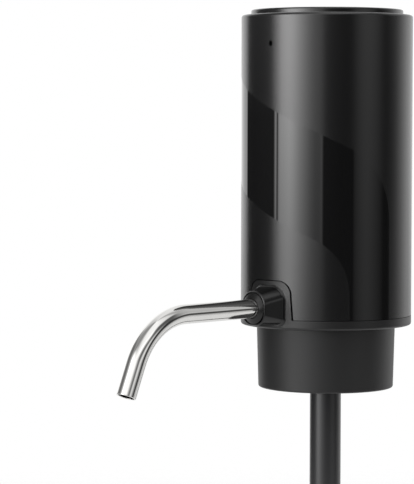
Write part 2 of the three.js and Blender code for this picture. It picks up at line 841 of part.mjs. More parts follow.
function motorCan() {
  const { radius, wall, bearing, bearingHeight, shaft } = motor;
  return revolve(
    [
      [shaft + gap, canBottom - bearingHeight],
      [bearing, canBottom - bearingHeight],
      [bearing, canBottom],
      [radius - wall, canBottom],
      [radius, canBottom + wall],
      [radius, canTop],
      [radius - wall, canTop],
      [radius - wall, canBottom + wall],
      [shaft + gap, canBottom + wall],
    ],
    facets.innerSides,
    pumpX,
  );
}

// End cap of the motor: plug in the can, blind bearing for the shaft and two solder terminals
function motorEndcap() {
  const bottom = canTop - motor.capPlug;
  const capBottom = canTop + gap;
  const plug = motor.radius - motor.wall - gap;
  const profile = [
    [0, capTop],
    [0, capTop - motor.cap / 2],
    [motor.shaft + gap, capTop - motor.cap / 2],
    [motor.shaft + gap, bottom],
    [plug, bottom],
    [plug, capBottom],
    [motor.radius, capBottom],
    [motor.radius, capTop],
  ];
  const terminal = lead.radius * 2;
  const terminals = [-1, 1].map((side) =>
    block(
      [pumpX - terminal, pumpX + terminal],
      [side * lead.spacing - terminal, side * lead.spacing + terminal],
      [capTop - motor.cap / 2, capTop + gap / 2],
    ),
  );
  return join(revolve(profile, facets.innerSides, pumpX), ...terminals);
}

// Rotor: three-pole stack, windings, commutator and shaft, with the crank and its off-centre pin below
const stackBottom = canBottom + motor.wall + gap + rotor.windingHeight + motor.shaft;
const stackTop = stackBottom + rotor.stack;

function motorRotor() {
  const slots = rotor.slotAngles.flatMap((angle) => {
    const [x, y] = polar(rotor.radius - rotor.slot - rotor.slotMouth, angle, pumpX);
    const span = [stackBottom - overrun, stackTop + overrun];
    const mouth = block([0, rotor.radius], [-rotor.slotMouth, rotor.slotMouth], span)
      .rotateZ(THREE.MathUtils.degToRad(angle))
      .translate(x, y, 0);
    return [rod(rotor.slot, ...span, facets.pinSides, x, y), mouth];
  });
  const shaftTop = capTop - motor.cap / 2 - gap;
  const commutatorTop = canTop - motor.capPlug - gap;
  const pinX = pumpX + crank.pinOffset;
  const pinBottom = crankBottom - crank.pinLength;
  return join(
    cut(rod(rotor.radius, stackBottom, stackTop, facets.innerSides, pumpX), ...slots),
    rod(rotor.windings, stackBottom - rotor.windingHeight, stackBottom + overrun, facets.pinSides, pumpX),
    rod(rotor.windings, stackTop - overrun, stackTop + rotor.windingHeight, facets.pinSides, pumpX),
    rod(rotor.commutator, stackTop, commutatorTop, facets.pinSides, pumpX),
    rod(motor.shaft, crankBottom, shaftTop, facets.pinSides, pumpX),
    rod(crank.radius, crankBottom, crankTop, facets.innerSides, pumpX),
    rod(crank.pinRadius, pinBottom, crankBottom + crank.height / 2, facets.pinSides, pinX),
  );
}

// One of the two ferrite arcs inside the can
function motorMagnet(side) {
  const outer = motor.radius - motor.wall - gap;
  const inner = outer - magnet.wall;
  const middle = side * quarterTurn;
  const half = THREE.MathUtils.degToRad(magnet.halfAngle);
  const shape = new THREE.Shape();
  shape.absarc(0, 0, outer, middle - half, middle + half, false);
  shape.absarc(0, 0, inner, middle + half, middle - half, true);
  const bottom = canBottom + motor.wall + gap;
  return extrudeUp(shape, bottom, bottom + magnet.height, facets.innerSides / 4).translate(pumpX, 0, 0);
}

function motorSleeve() {
  const inner = motor.radius + gap;
  const bottom = canBottom + motor.wall * 2;
  return tube(inner, inner + sleeve.wall, bottom, bottom + sleeve.height, facets.innerSides, pumpX);
}

// Cell and its tabs
const cellBody = () =>
  join(
    revolve(
      [
        [0, cellBottom],
        [cell.radius - gap, cellBottom],
        [cell.radius, cellBottom + gap],
        [cell.radius, cellTop - gap],
        [cell.radius - gap, cellTop],
        [0, cellTop],
      ],
      facets.innerSides,
      cellX,
    ),
    rod(cell.tipRadius, cellTop - overrun, cellTop + cell.tip, facets.pinSides, cellX),
  );
const cellTab = (bottom) => rod(cell.tabRadius, bottom, bottom + cell.tab, facets.pinSides, cellX);

// Chassis
const screwReach = chassis.cradleWall + deckScrew.shank * 2;
const chassisScrewAt = [
  ...chassis.pumpScrewAngles.map((angle) => polar(pumpCradle + screwReach, angle, pumpX)),
  polar(cellCradle + screwReach, chassis.cellScrewAngle, cellX),
];
const feedAt = [cellX - cell.tabRadius + lead.radius * 2, 0];
const ribbonAt = polar(pumpCradle + chassis.cradleWall + ribbon.reach, ribbon.angle, pumpX);
const ribbonSlot = (from, to) => {
  const [x, y] = ribbonAt;
  const half = ribbon.width / 2 + ribbon.plug;
  return block([x - half, x + half], [y - ribbon.plug, y + ribbon.plug], [from - overrun, to + overrun]);
};

function chassisFrame() {
  const middle = (plateTop + chassisTop) / 2;
  const windowHalf = ((chassisTop - plateTop) * chassis.windowShare) / 2;
  const pumpMouth = pumpCradle * chassis.mouthShare;
  const cellMouth = cellCradle * chassis.mouthShare;
  const outside = shellInner + overrun;
  const cradles = join(
    rod(pumpCradle + chassis.cradleWall, plateBottom, chassisTop, facets.innerSides, pumpX),
    rod(cellCradle + chassis.cradleWall, plateBottom, chassisTop, facets.innerSides, cellX),
    ...chassisScrewAt.map(([x, y]) =>
      rod(chassis.boss, chassisTop - 2 * chassis.bossDepth, chassisTop, facets.pinSides, x, y),
    ),
  );
  const legs = baseScrew.angles.map((angle) =>
    rod(chassis.leg, floorTop + gap, plateTop, facets.pinSides, ...polar(baseScrewCircle, angle)),
  );
  return cut(
    join(
      common(cradles, rod(spigotOuter, plateBottom, chassisTop, facets.fineSides)),
      rod(spigotOuter, plateBottom, plateTop, facets.fineSides),
      ...legs,
    ),
    rod(pumpCradle, plateTop, chassisTop + overrun, facets.innerSides, pumpX),
    rod(cellCradle, plateTop, chassisTop + overrun, facets.innerSides, cellX),
    block([-outside, pumpX - pumpMouth], [-pumpMouth, pumpMouth], [plateTop, chassisTop + overrun]),
    block([cellX + cellMouth, outside], [-cellMouth, cellMouth], [plateTop, chassisTop + overrun]),
    block(
      [pumpX - pumpMouth / 2, pumpX + pumpMouth / 2],
      [-outside, outside],
      [middle - windowHalf, middle + windowHalf],
    ),
    rod(hoseInner + hose.wall + gap, plateBottom - overrun, plateTop + overrun, facets.pinSides, airX),
    rod(deck.leadHole + gap, plateBottom - overrun, plateTop + overrun, facets.pinSides, ...feedAt),
    ribbonSlot(plateBottom, plateTop),
    ...baseScrew.angles.map((angle) =>
      rod(
        baseScrew.shank + screwFit,
        floorTop - overrun,
        baseBottom + baseScrew.headHeight + baseScrew.length + gap,
        facets.pinSides,
        ...polar(baseScrewCircle, angle),
      ),
    ),
    ...chassisScrewAt.map(([x, y]) =>
      rod(
        deckScrew.shank + screwFit,
        chassisTop - chassis.bossDepth,
        chassisTop + overrun,
        facets.pinSides,
        x,
        y,
      ),
    ),
  );
}

// Deck: plate over both cradles, with posts for the board
function topDeck() {
  const postAt = boardScrew.angles.map((angle) => polar(postCircle, angle));
  const hole = (radius, x, y) => rod(radius, deckBottom - overrun, deckTop + overrun, facets.pinSides, x, y);
  return cut(
    join(
      rod(spigotOuter, deckBottom, deckTop, facets.fineSides),
      ...postAt.map(([x, y]) => rod(deck.post, deckBottom, boardBottom, facets.pinSides, x, y)),
    ),
    ...postAt.map(([x, y]) =>
      rod(boardScrew.shank + screwFit, boardTop - boardScrew.length - gap, boardTop, facets.pinSides, x, y),
    ),
    ...chassisScrewAt.map(([x, y]) => hole(deckScrew.shank + screwFit, x, y)),
    ...[-1, 1].map((side) => hole(deck.leadHole, pumpX, side * lead.spacing)),
    hole(deck.leadHole, cellX, 0),
    ribbonSlot(deckBottom, deckTop),
  );
}

// Electronics
function controlBoard() {
  return cut(
    rod(boardRadius, boardBottom, boardTop, facets.fineSides),
    ...boardScrew.angles.map((angle) =>
      rod(
        boardScrew.shank + screwFit,
        boardBottom - overrun,
        boardTop + overrun,
        facets.pinSides,
        ...polar(postCircle, angle),
      ),
    ),
  );
}

function tactSwitch() {
  const half = tact.width / 2;
  const wellBottom = tactTop - tact.plungerDepth - buttonTravel - gap;
  return cut(
    block([-half, half], [-half, half], [boardTop, tactTop]),
    rod(tact.plunger + gap, wellBottom, tactTop + overrun, facets.pinSides),
  );
}

const switchPlunger = () =>
  rod(tact.plunger, tactTop - tact.plungerDepth, tactTop + tact.plungerProud, facets.pinSides);

function statusLed() {
  const { offset } = pinhole;
  const half = led.width / 2;
  const rear = led.depth - ledFront;
  return join(
    block([offset - half, offset + half], [-ledFront + gap, rear], [boardTop, boardTop + led.height]),
    block([offset - half / 2, offset + half / 2], [-ledFront, rear], [ledZ - half / 2, ledZ + half / 2]),
  );
}

// Light pipe: pin in the shell's pinhole, with a flange behind the wall
function lightPipe() {
  const { width, height, offset, flange, flangeDepth } = pinhole;
  const slim = 2 * pinhole.fit;
  const flangeFront = shellInner - 2 * fit;
  const pin = stadium(width - slim, height - slim, ledZ, offset);
  const stop = stadium(width + 2 * flange, height + 2 * flange, ledZ, offset);
  return join(
    extrudeOutwards(pin, ledFront + gap, housingRadius - pinhole.recess),
    extrudeOutwards(stop, flangeFront - flangeDepth, flangeFront),
  );
}

function chargeBoard() {
  const half = board.chargeHalf;
  const chip = board.charge * 2;
  return join(
    block([-half, half], [chargeFront, chargeRear], [chargeBottom, chargeTop]),
    block(
      [-half + chip, -half + 2 * chip + board.charge],
      [chargeFront + board.charge, chargeFront + board.charge + chip],
      [chargeTop - board.charge / 2, chargeTop + board.charge],
    ),
  );
}

// Charging socket: rounded metal shell with a contact tongue
function chargeSocket() {
  const mouth = housingRadius - socket.recess;
  const back = mouth - socket.depth;
  const outer = stadium(socket.width, socket.height, socketZ);
  const inner = stadium(socket.width - 2 * socket.wall, socket.height - 2 * socket.wall, socketZ);
  const tongueHalf = (socket.width * socket.tongueShare) / 2;
  return join(
    cut(
      extrudeOutwards(outer, -mouth, -back, facets.edgeSteps + 1),
      extrudeOutwards(inner, -mouth - overrun, -back - overrun, facets.edgeSteps + 1),
    ),
    block(
      [-tongueHalf, tongueHalf],
      [back + overrun / 2, mouth - overrun],
      [socketZ - socket.tongue / 2, socketZ + socket.tongue / 2],
    ),
  );
}

// Wiring
const straightLead = (x, y, from, to) => rod(lead.radius, from, to, lead.sides, x, y);

// Lead from the cell's lower tab, straight down through the chassis's plate and over to the charging board
function feedLead() {
  const [x, y] = feedAt;
  const endX = board.chargeHalf - lead.radius * 4;
  const endY = chargeFront + lead.radius * 3;
  const to = chargeTop + lead.radius + gap;
  const bow = (plateBottom - to) / 2;
  const belowPlate = new THREE.Vector3(x, y, plateBottom);
  const path = new THREE.CurvePath();
  path.add(new THREE.LineCurve3(new THREE.Vector3(x, y, pumpBottom - gap / 2), belowPlate));
  path.add(
    new THREE.CubicBezierCurve3(
      belowPlate,
      new THREE.Vector3(x, y, plateBottom - bow),
      new THREE.Vector3(endX, y, to + bow),
      new THREE.Vector3(endX, endY, to),
    ),
  );
  const section = new THREE.Shape().absarc(0, 0, lead.radius, 0, 2 * Math.PI);
  return new THREE.ExtrudeGeometry(section, {
    extrudePath: path,
    steps: lead.steps,
    curveSegments: lead.sides / 2,
    bevelEnabled: false,
  });
}

function ribbonCable() {
  const { width, thickness, plug, plugHeight } = ribbon;
  const [x, y] = ribbonAt;
  const halfWidth = width / 2;
  const plugHalf = halfWidth + plug / 2;
  const plugBlock = (from, to) =>
    block([x - plugHalf, x + plugHalf], [y - plug / 2, y + plug / 2], [from, to]);
  return join(
    block([x - halfWidth, x + halfWidth], [y - thickness / 2, y + thickness / 2], [chargeTop, boardBottom]),
    plugBlock(chargeTop, chargeTop + plugHeight),
    plugBlock(boardBottom - plugHeight, boardBottom),
  );
}

// Button: wide cap with a dished top, a retaining flange under the shell's lip and a stem over the switch
function pressButton() {
  const { radius, stem, skirt } = button;
  const flangeRadius = shellInner - fit - gap / 3;
  const dishRadius = radius - dish.rim;
  const skirtInner = radius - skirt;
  const dishTop = dishShares.map((share) => [dishRadius * share, buttonTop - dish.depth * (1 - share ** 2)]);
  const profile = [
    [0, stemBottom],
    [stem, stemBottom],
    [stem, buttonUnder],
    [skirtInner, buttonUnder],
    [skirtInner, flangeBottom],
    [flangeRadius, flangeBottom],
    [flangeRadius, flangeTop],
    [radius, flangeTop],
    [radius, buttonTop - dish.edge],
    [radius - dish.edge, buttonTop],
    [dishRadius, buttonTop],
    ...dishTop,
    [0, buttonTop - dish.depth],
  ];
  return revolve(profile, facets.skinSides);
}

class Coil extends THREE.Curve {
  getPoint(share, target = new THREE.Vector3()) {
    const low = boardTop + spring.wire + gap / 2;
    const high = buttonUnder - spring.wire - gap / 2;
    const angle = share * spring.turns * 2 * Math.PI;
    const height = low + (high - low) * share;
    return target.set(spring.radius * Math.cos(angle), spring.radius * Math.sin(angle), height);
  }
}

function buttonSpring() {
  return new THREE.ExtrudeGeometry(new THREE.Shape().absarc(0, 0, spring.wire, 0, 2 * Math.PI), {
    extrudePath: new Coil(),
    steps: spring.turns * spring.stepsPerTurn,
    curveSegments: 2,
    bevelEnabled: false,
  });
}

// Screws: head above the seat, shank below it, or the other way up
function screw({ head, headHeight, shank, length }, seat, up, [x, y]) {
  const side = up ? 1 : -1;
  const upright = (a, b) => [Math.min(a, b), Math.max(a, b)];
  const neck = seat + (side * headHeight) / 2;
  const end = seat - side * (length - headHeight);
  return join(
    rod(head, ...upright(seat, seat + side * headHeight), facets.pinSides, x, y),
    rod(shank, ...upright(neck, end), facets.pinSides, x, y),
  );
}

const part = new THREE.Group();
part.add(
  node("outer_shell", outerShell(), finish.satinBlack),
  node("press_button", pressButton(), finish.satinBlack),
  node("base_housing", baseHousing(), finish.satinBlack),
  node("neck_collar", neckCollar(), finish.softBlack),
  node("bottle_seal", bottleSeal(), finish.silicone),
  node("spout_tube", spoutTube(), finish.steel),
  node("spout_bushing", spoutBushing(), finish.silicone),
  node("spout_o_ring", spoutRing(), finish.silicone),
  node("tube_upper", stageTube(0, baseBottom - gap, dip.upperEnd), finish.smoke),
  node("tube_middle", stageTube(1, middleTop, middleEnd), finish.smoke),
  node("tube_lower", stageTube(2, lowerTop, lowerEnd), finish.smoke),
  node("upper_gland", gland(0, upperGlandBottom), finish.softBlack),
  node("lower_gland", gland(1, lowerGlandBottom), finish.softBlack),
  node("intake_foot", intakeFoot(), finish.softBlack),
  node("light_pipe", lightPipe(), finish.lens),
  node("charge_socket", chargeSocket(), finish.zinc),
  node("charge_board", chargeBoard(), finish.circuitBoard),
  node("check_valve", checkValve(), finish.nylon),
  node("air_hose", airHose(), finish.clearHose),
  node("chassis", chassisFrame(), finish.greyPlastic),
  node("top_deck", topDeck(), finish.greyPlastic),
  node("pump_cover", pumpCover(), finish.nylon),
  node("valve_plate", valvePlate(), finish.nylon),
  node("pump_diaphragm", pumpDiaphragm(), finish.silicone),
  node("wobble_plate", wobblePlate(), finish.nylon),
  node("pump_body", pumpBody(), finish.nylon),
  node("motor_can", motorCan(), finish.zinc),
  node("motor_endcap", motorEndcap(), finish.greyPlastic),
  node("motor_rotor", motorRotor(), finish.copper),
  node("magnet_front", motorMagnet(-1), finish.ferrite),
  node("magnet_rear", motorMagnet(1), finish.ferrite),
  node("motor_sleeve", motorSleeve(), finish.silicone),
  node("battery_cell", cellBody(), finish.cellWrap),
  node("battery_lower_tab", cellTab(pumpBottom), finish.zinc),
  node("battery_upper_tab", cellTab(topTabBottom), finish.zinc),
  node("control_board", controlBoard(), finish.circuitBoard),
  node("tact_switch", tactSwitch(), finish.softBlack),
  node("switch_plunger", switchPlunger(), finish.softBlack),
  node("status_led", statusLed(), finish.lens),
  node("button_spring", buttonSpring(), finish.zinc),
  node("battery_feed_lead", feedLead(), finish.redWire),
  node("battery_board_lead", straightLead(cellX, 0, topTabBottom + cell.tab, boardBottom), finish.redWire),
  node("ribbon_cable", ribbonCable(), finish.clearHose),
  ...[-1, 1].map((side, i) =>
    node(
      "motor_lead_" + (i + 1),
      straightLead(pumpX, side * lead.spacing, capTop + gap / 2, boardBottom),
      finish.redWire,
    ),
  ),
  ...baseScrew.angles.map((angle, i) => {
    const shape = screw(baseScrew, baseBottom + baseScrew.headHeight, false, polar(baseScrewCircle, angle));
    return node("base_screw_" + (i + 1), shape, finish.zinc);
  }),
  ...collarScrew.angles.map((angle, i) => {
    const shape = screw(collarScrew, floorTop, true, polar(collarScrewCircle, angle));
    return node("collar_screw_" + (i + 1), shape, finish.zinc);
  }),
  ...chassisScrewAt.map((at, i) => {
    const shape = screw(deckScrew, deckTop, true, at);
    return node("deck_screw_" + (i + 1), shape, finish.zinc);
  }),
  ...boardScrew.angles.map((angle, i) => {
    const shape = screw(boardScrew, boardTop, true, polar(postCircle, angle));
    return node("board_screw_" + (i + 1), shape, finish.zinc);
  }),
);

export default part;
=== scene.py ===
import json
import math

import bmesh
import bpy
from mathutils import Matrix, Vector


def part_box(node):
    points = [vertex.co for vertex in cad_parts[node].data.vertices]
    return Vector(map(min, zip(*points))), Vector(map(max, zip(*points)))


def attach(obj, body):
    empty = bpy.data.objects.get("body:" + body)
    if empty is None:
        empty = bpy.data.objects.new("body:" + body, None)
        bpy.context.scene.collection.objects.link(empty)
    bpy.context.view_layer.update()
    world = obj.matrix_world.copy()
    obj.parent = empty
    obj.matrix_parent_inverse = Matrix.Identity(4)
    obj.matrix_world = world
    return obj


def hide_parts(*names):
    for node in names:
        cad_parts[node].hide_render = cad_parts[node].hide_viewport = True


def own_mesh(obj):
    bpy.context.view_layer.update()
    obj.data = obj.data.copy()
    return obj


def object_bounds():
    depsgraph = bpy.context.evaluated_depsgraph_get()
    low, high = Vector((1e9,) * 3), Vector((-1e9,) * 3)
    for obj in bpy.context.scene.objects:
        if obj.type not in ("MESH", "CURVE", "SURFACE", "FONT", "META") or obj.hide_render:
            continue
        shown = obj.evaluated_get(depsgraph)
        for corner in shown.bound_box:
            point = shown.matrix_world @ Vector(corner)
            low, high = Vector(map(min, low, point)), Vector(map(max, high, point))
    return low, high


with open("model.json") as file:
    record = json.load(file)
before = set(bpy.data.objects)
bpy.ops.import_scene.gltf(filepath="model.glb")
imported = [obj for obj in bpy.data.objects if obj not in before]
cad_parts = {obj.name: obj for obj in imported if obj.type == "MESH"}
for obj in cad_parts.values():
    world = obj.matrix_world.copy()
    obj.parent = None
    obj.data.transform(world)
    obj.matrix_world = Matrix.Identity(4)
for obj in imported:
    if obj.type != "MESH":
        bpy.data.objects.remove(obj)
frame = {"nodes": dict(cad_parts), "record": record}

MM = 0.001
CAD_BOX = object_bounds()


def box(node):
    low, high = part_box(node)
    return low / MM, high / MM


# Sides of a full turn, and steps of a quarter round
SIDES = 240
SMALL_SIDES = 72
STEPS = 8
BEND_STEPS = 6 * STEPS
TURN_STEPS = 3 * STEPS

# How far a cutter runs past what it cuts, and how near points have to be to become one
OVERRUN = 1
MERGE = 0.0005

# Edges sharper than this stay crisp
SHARP = math.radians(32)

# For the normals of a wall: how far from upright a face may be, how far from the wall a point may
# be, and how well a face has to look outwards or inwards
UPRIGHT = 0.02
ON_WALL = 0.02
FACING = 0.999

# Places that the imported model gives
SHELL_LOW, SHELL_HIGH = box("outer_shell")
BASE_LOW, BASE_HIGH = box("base_housing")
BUTTON_LOW, BUTTON_HIGH = box("press_button")
COLLAR_LOW, COLLAR_HIGH = box("neck_collar")
SEAL_LOW, SEAL_HIGH = box("bottle_seal")
SPOUT_HIGH = box("spout_tube")[1]
BUSHING_HIGH = box("spout_bushing")[1]
SOCKET_LOW, SOCKET_HIGH = box("charge_socket")
LAMP_LOW, LAMP_HIGH = box("light_pipe")
BODY = SHELL_HIGH.x
BASE_BOTTOM = COLLAR_HIGH.z
PAD_TOP = BASE_HIGH.z
BOSS_FACE = -BASE_LOW.y
SPOUT_Z = SPOUT_HIGH.z - SPOUT_HIGH.x
TUBE = SPOUT_HIGH.x

# Sizes that the boxes don't hold. The deck's posts reach above the ledge by "posts".
WALL = {
    "shell": 1.8,
    "top_edge": 0.75,
    "lip": 0.75,
    "lip_inner": 20.65,
    "ledge": 1.6,
    "ledge_height": 1.4,
    "posts": 1.8,
}
LEDGE_Z = box("top_deck")[1].z - WALL["posts"]
RING = {
    "height": 2.5,
    "edge": 0.65,
    "floor": 2.7,
    "spigot": 4.5,
    "spigot_outer": 20.9,
    "spigot_inner": 19.4,
}
PAD = {
    "top_half": 6.85,
    "foot_half": 7.45,
    "corner": 3.4,
    "depth": 3,
    "slit": 0.45,
    "top_slit": 0.22,
}

# The face and the foot are each a width, a height, and the radii of the upper and lower corners
BOSS = {
    "face": (8.3, 9.1, 3.75, 3.3),
    "foot": (10.2, 9.6, 3.3, 1.6),
    "foot_rise": 0.5,
    "fillet": 0.9,
    "edge": 0.4,
    "sink": 0.02,
    "root": 1.2,
}
SPOUT = {
    "wall": 0.4,
    "inset": 13.35,
    "straight": 25.25,
    "bend": 18.8,
    "angle": 67,
    "tail": 8.7,
    "lip": 0.15,
}
GROMMET = {
    "inner": 2.52,
    "shank": 3.05,
    "shank_length": 3.2,
    "hole": 2.62,
    "spread": 0.13,
    "rise": 0.09,
    "step": 0.05,
    "crown": 5.6,
    "cone": (48, 61),
    "lip": 0.12,
    "lip_start": 75,
}
DUCT = {
    "outer": 4.1,
    "nipple": 3.2,
    "air_nipple": 1.5,
    "air_bore": 0.7,
    "air_x": -6.9,
    "air_top": 8.2,
}
BASE_SCREWS = {
    "circle": 12.15,
    "shank": 1.3,
    "head": 2.3,
    "head_height": 1.2,
    "angles": (25, 155, 235, 305),
}
COLLAR_SCREWS = {"circle": 17.2, "shank": 1.0, "depth": 7, "angles": (0, 120, 240)}
CAP = {
    "radius": 20.4,
    "edge": 0.45,
    "rim": 1.8,
    "dish": 0.6,
    "dish_power": 1.5,
    "dish_steps": 24,
    "flange_top": 84.0,
    "flange_low": 82.6,
}
CAP_FACE = {"radius": 19.75, "depth": 1.1}
CAP_INNER = {"skirt": 18.9, "under": 84.6, "stem": 2.5}
COLLAR = {
    "top": 18.65,
    "bottom": 18.2,
    "bore": 15.75,
    "seat": 15.3,
    "seat_depth": 0.3,
    "edge": 0.5,
    "rim": 0.25,
}
SEAL = {
    "plug": 9.3,
    "lip": 0.6,
    "lip_height": 1.6,
    "lip_start": -20,
    "lips": 3,
    "bore": 4.5,
    "air_hole": 1.1,
    "flange": 15,
    "edge": 0.3,
}
PINHOLE = {"width": 1.12, "height": 1.45}

# The socket's mouth rolls in on "roll": shares of the lip inwards and back from the mouth
SLOT = {
    "gap": 0.3,
    "wall": 0.3,
    "tongue": 0.7,
    "tongue_share": 0.75,
    "lip": 0.1,
    "roll": ((0, 1), (0.6, 1 / 3), (1, 0)),
}
DIP = {
    "radius": (4.2, 3.45, 2.7),
    "wall": 0.45,
    "fit": 0.12,
    "gland_wall": 0.9,
    "gland_lip": 2,
    "end": 0.12,
    "end_steps": 3,
}
FOOT = {"skirt": 3.5, "slot": 1.6}
SPRING = {"radius": 5.6, "wire": 0.3, "turns": 5.5, "closed": 1, "steps": 24, "sides": 12}

# Gloss ribbon round the shell, unrolled: degrees are measured from -Y towards +X, and heights
# follow from the slope. Each edge is straight, and turns on an arc towards the upright at both
# ends.
RIBBON = {"slope": 25, "depth": 0.5, "proud": 0.5}
RIBBON_UPPER = {"start": -48, "end": 56.5, "height": 49.75, "turn": 21.5}
RIBBON_LOWER = {"start": -95, "end": 34, "height": 25.75, "turn": 16}


# Mesh building
def new_piece(name, vertices, faces):
    mesh = bpy.data.meshes.new(name)
    mesh.from_pydata([Vector(v) * MM for v in vertices], [], faces)
    piece = bpy.data.objects.new(name, mesh)
    bpy.context.collection.objects.link(piece)
    clean(mesh)
    return piece


def clean(mesh):
    work = bmesh.new()
    work.from_mesh(mesh)
    bmesh.ops.remove_doubles(work, verts=work.verts, dist=MERGE * MM)
    bmesh.ops.dissolve_degenerate(work, edges=work.edges, dist=MERGE * MM)
    bmesh.ops.recalc_face_normals(work, faces=work.faces)
    work.to_mesh(mesh)
    work.free()


def upright(x=0, y=0):
    return lambda r, angle, z: (x + r * math.cos(angle), y + r * math.sin(angle), z)


def on_circle(screws):
    angles = [math.radians(angle) for angle in screws["angles"]]
    return [upright(screws["circle"] * math.cos(a), screws["circle"] * math.sin(a)) for a in angles]


def outwards(r, angle, distance):
    return (r * math.cos(angle), -distance, SPOUT_Z + r * math.sin(angle))


# A closed outline of (radius, height) points turned about an axis, or along the path that place
# follows
def turned(name, outline, sides=SIDES, place=None):
    place = place or upright()
    vertices, rings = [], []
    for r, h in outline:
        count = sides if r > 0 else 1
        rings.append([len(vertices) + i for i in range(count)])
        vertices += [place(r, 2 * math.pi * i / sides, h) for i in range(count)]
    faces = []
    for low, high in zip(rings, rings[1:] + rings[:1]):
        if len(low) == len(high) == 1:
            continue
        for i in range(sides):
            j = (i + 1) % sides
            face = [low[i % len(low)], low[j % len(low)], high[j % len(high)], high[i % len(high)]]
            faces.append(list(dict.fromkeys(face)))
    return new_piece(name, vertices, faces)


# Round corner about a centre, between two directions in degrees
def arc(centre, radius, start, end, steps=STEPS):
    angles = [math.radians(start + (end - start) * i / steps) for i in range(steps + 1)]
    return [(centre[0] + radius * math.cos(a), centre[1] + radius * math.sin(a)) for a in angles]


# An outline of points carried from one place to another: layers are lists of 3-D points of equal
# count
def lofted(name, layers):
    count = len(layers[0])
    vertices = [point for layer in layers for point in layer]
    faces = [list(range(count))[::-1], [len(vertices) - count + i for i in range(count)]]
    for k in range(len(layers) - 1):
        for i in range(count):
            j = (i + 1) % count
            faces.append([k * count + i, k * count + j, (k + 1) * count + j, (k + 1) * count + i])
    return new_piece(name, vertices, faces)


# An outline in X and Z carried along Y
def prism(name, outline, y0, y1):
    return lofted(name, [[(x, y, z) for x, z in outline] for y in (y0, y1)])


def rod(name, radius, low, high, sides=SMALL_SIDES, place=None):
    return turned(name, [(0, low), (radius, low), (radius, high), (0, high)], sides, place)


def block(name, low, high):
    outline = [(low[0], low[2]), (high[0], low[2]), (high[0], high[2]), (low[0], high[2])]
    return prism(name, outline, low[1], high[1])


def combine(piece, operation, *others):
    for other in others:
        step = piece.modifiers.new("step", "BOOLEAN")
        step.operation = operation
        step.solver = "EXACT"
        step.object = other
        applied(piece)
        bpy.data.objects.remove(other)
    clean(piece.data)
    return piece


def copy_of(piece, name):
    twin = bpy.data.objects.new(name, piece.data.copy())
    bpy.context.collection.objects.link(twin)
    return twin


def applied(piece):
    depsgraph = bpy.context.evaluated_depsgraph_get()
    made = bpy.data.meshes.new_from_object(piece.evaluated_get(depsgraph))
    piece.modifiers.clear()
    old, piece.data = piece.data, made
    bpy.data.meshes.remove(old)
    made.name = piece.name


# Smooth shading with crisp edges, where the broad faces keep their own direction and the narrow
# ones take up the turn. The upright walls of the radii given get the normals of a true round,
# because the cuts leave them in uneven faces.
def shade(piece, *radii):
    piece.data.shade_smooth()
    piece.data.set_sharp_from_angle(angle=SHARP)
    weigh = piece.modifiers.new("weigh", "WEIGHTED_NORMAL")
    weigh.mode = "FACE_AREA"
    weigh.keep_sharp = True
    applied(piece)
    mesh = piece.data
    if not radii:
        return piece
    normals = [corner.vector.copy() for corner in mesh.corner_normals]
    for face in mesh.polygons:
        if abs(face.normal.z) > UPRIGHT:
            continue
        for loop in face.loop_indices:
            point = mesh.vertices[mesh.loops[loop].vertex_index].co
            flat = Vector((point.x, point.y, 0))
            on_wall = any(abs(flat.length / MM - radius) < ON_WALL for radius in radii)
            if on_wall and abs(flat.normalized().dot(face.normal)) > FACING:
                normals[loop] = flat.normalized() * (1 if flat.dot(face.normal) > 0 else -1)
    mesh.normals_split_custom_set(normals)
    return piece


# Finish a piece: its material, the body that it rides on and the nodes that it stands for
def dress(piece, look, body="root", nodes=()):
    piece.data.materials.clear()
    piece.data.materials.append(look)
    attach(piece, body)
    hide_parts(*nodes)


# Materials: size and detail of the slow drift in colour and in roughness, and the grain's detail
# and strength
FINISH = {"tint": (9, 3), "roughness": (2.5, 4), "grain_detail": 2, "grain_strength": 0.5}


def moulded(
    name, colour, roughness, grain=0.0, grain_size=0.12, spread=0.03, ior=1.55, metallic=0.0
):
    """Procedural finish: colour and roughness drift over the surface, and a fine grain is on it."""
    look = bpy.data.materials.new(name)
    look.use_nodes = True
    nodes, links = look.node_tree.nodes, look.node_tree.links
    shader = nodes["Principled BSDF"]
    shader.inputs["IOR"].default_value = ior
    shader.inputs["Metallic"].default_value = metallic
    place = nodes.new("ShaderNodeTexCoord").outputs["Object"]

    def noise(size, detail):
        made = nodes.new("ShaderNodeTexNoise")
        made.inputs["Scale"].default_value = 1 / (size * MM)
        made.inputs["Detail"].default_value = detail
        links.new(place, made.inputs["Vector"])
        return made.outputs["Fac"]

    def spread_over(source, low, high):
        made = nodes.new("ShaderNodeMapRange")
        made.inputs["To Min"].default_value = low
        made.inputs["To Max"].default_value = high
        links.new(source, made.inputs["Value"])
        return made.outputs["Result"]

    tint = nodes.new("ShaderNodeMix")
    tint.data_type = "RGBA"
    tint.inputs["A"].default_value = (*[c * (1 - 2 * spread) for c in colour], 1)
    tint.inputs["B"].default_value = (*[c * (1 + 2 * spread) for c in colour], 1)
    links.new(noise(*FINISH["tint"]), tint.inputs["Factor"])
    links.new(tint.outputs["Result"], shader.inputs["Base Color"])
    smooth, rough = roughness * (1 - spread), roughness * (1 + spread)
    uneven = spread_over(noise(*FINISH["roughness"]), smooth, rough)
    links.new(uneven, shader.inputs["Roughness"])
    if grain:
        bump = nodes.new("ShaderNodeBump")
        bump.inputs["Strength"].default_value = FINISH["grain_strength"]
        bump.inputs["Distance"].default_value = grain * MM
        links.new(noise(grain_size, FINISH["grain_detail"]), bump.inputs["Height"])
        links.new(bump.outputs["Normal"], shader.inputs["Normal"])
    return look


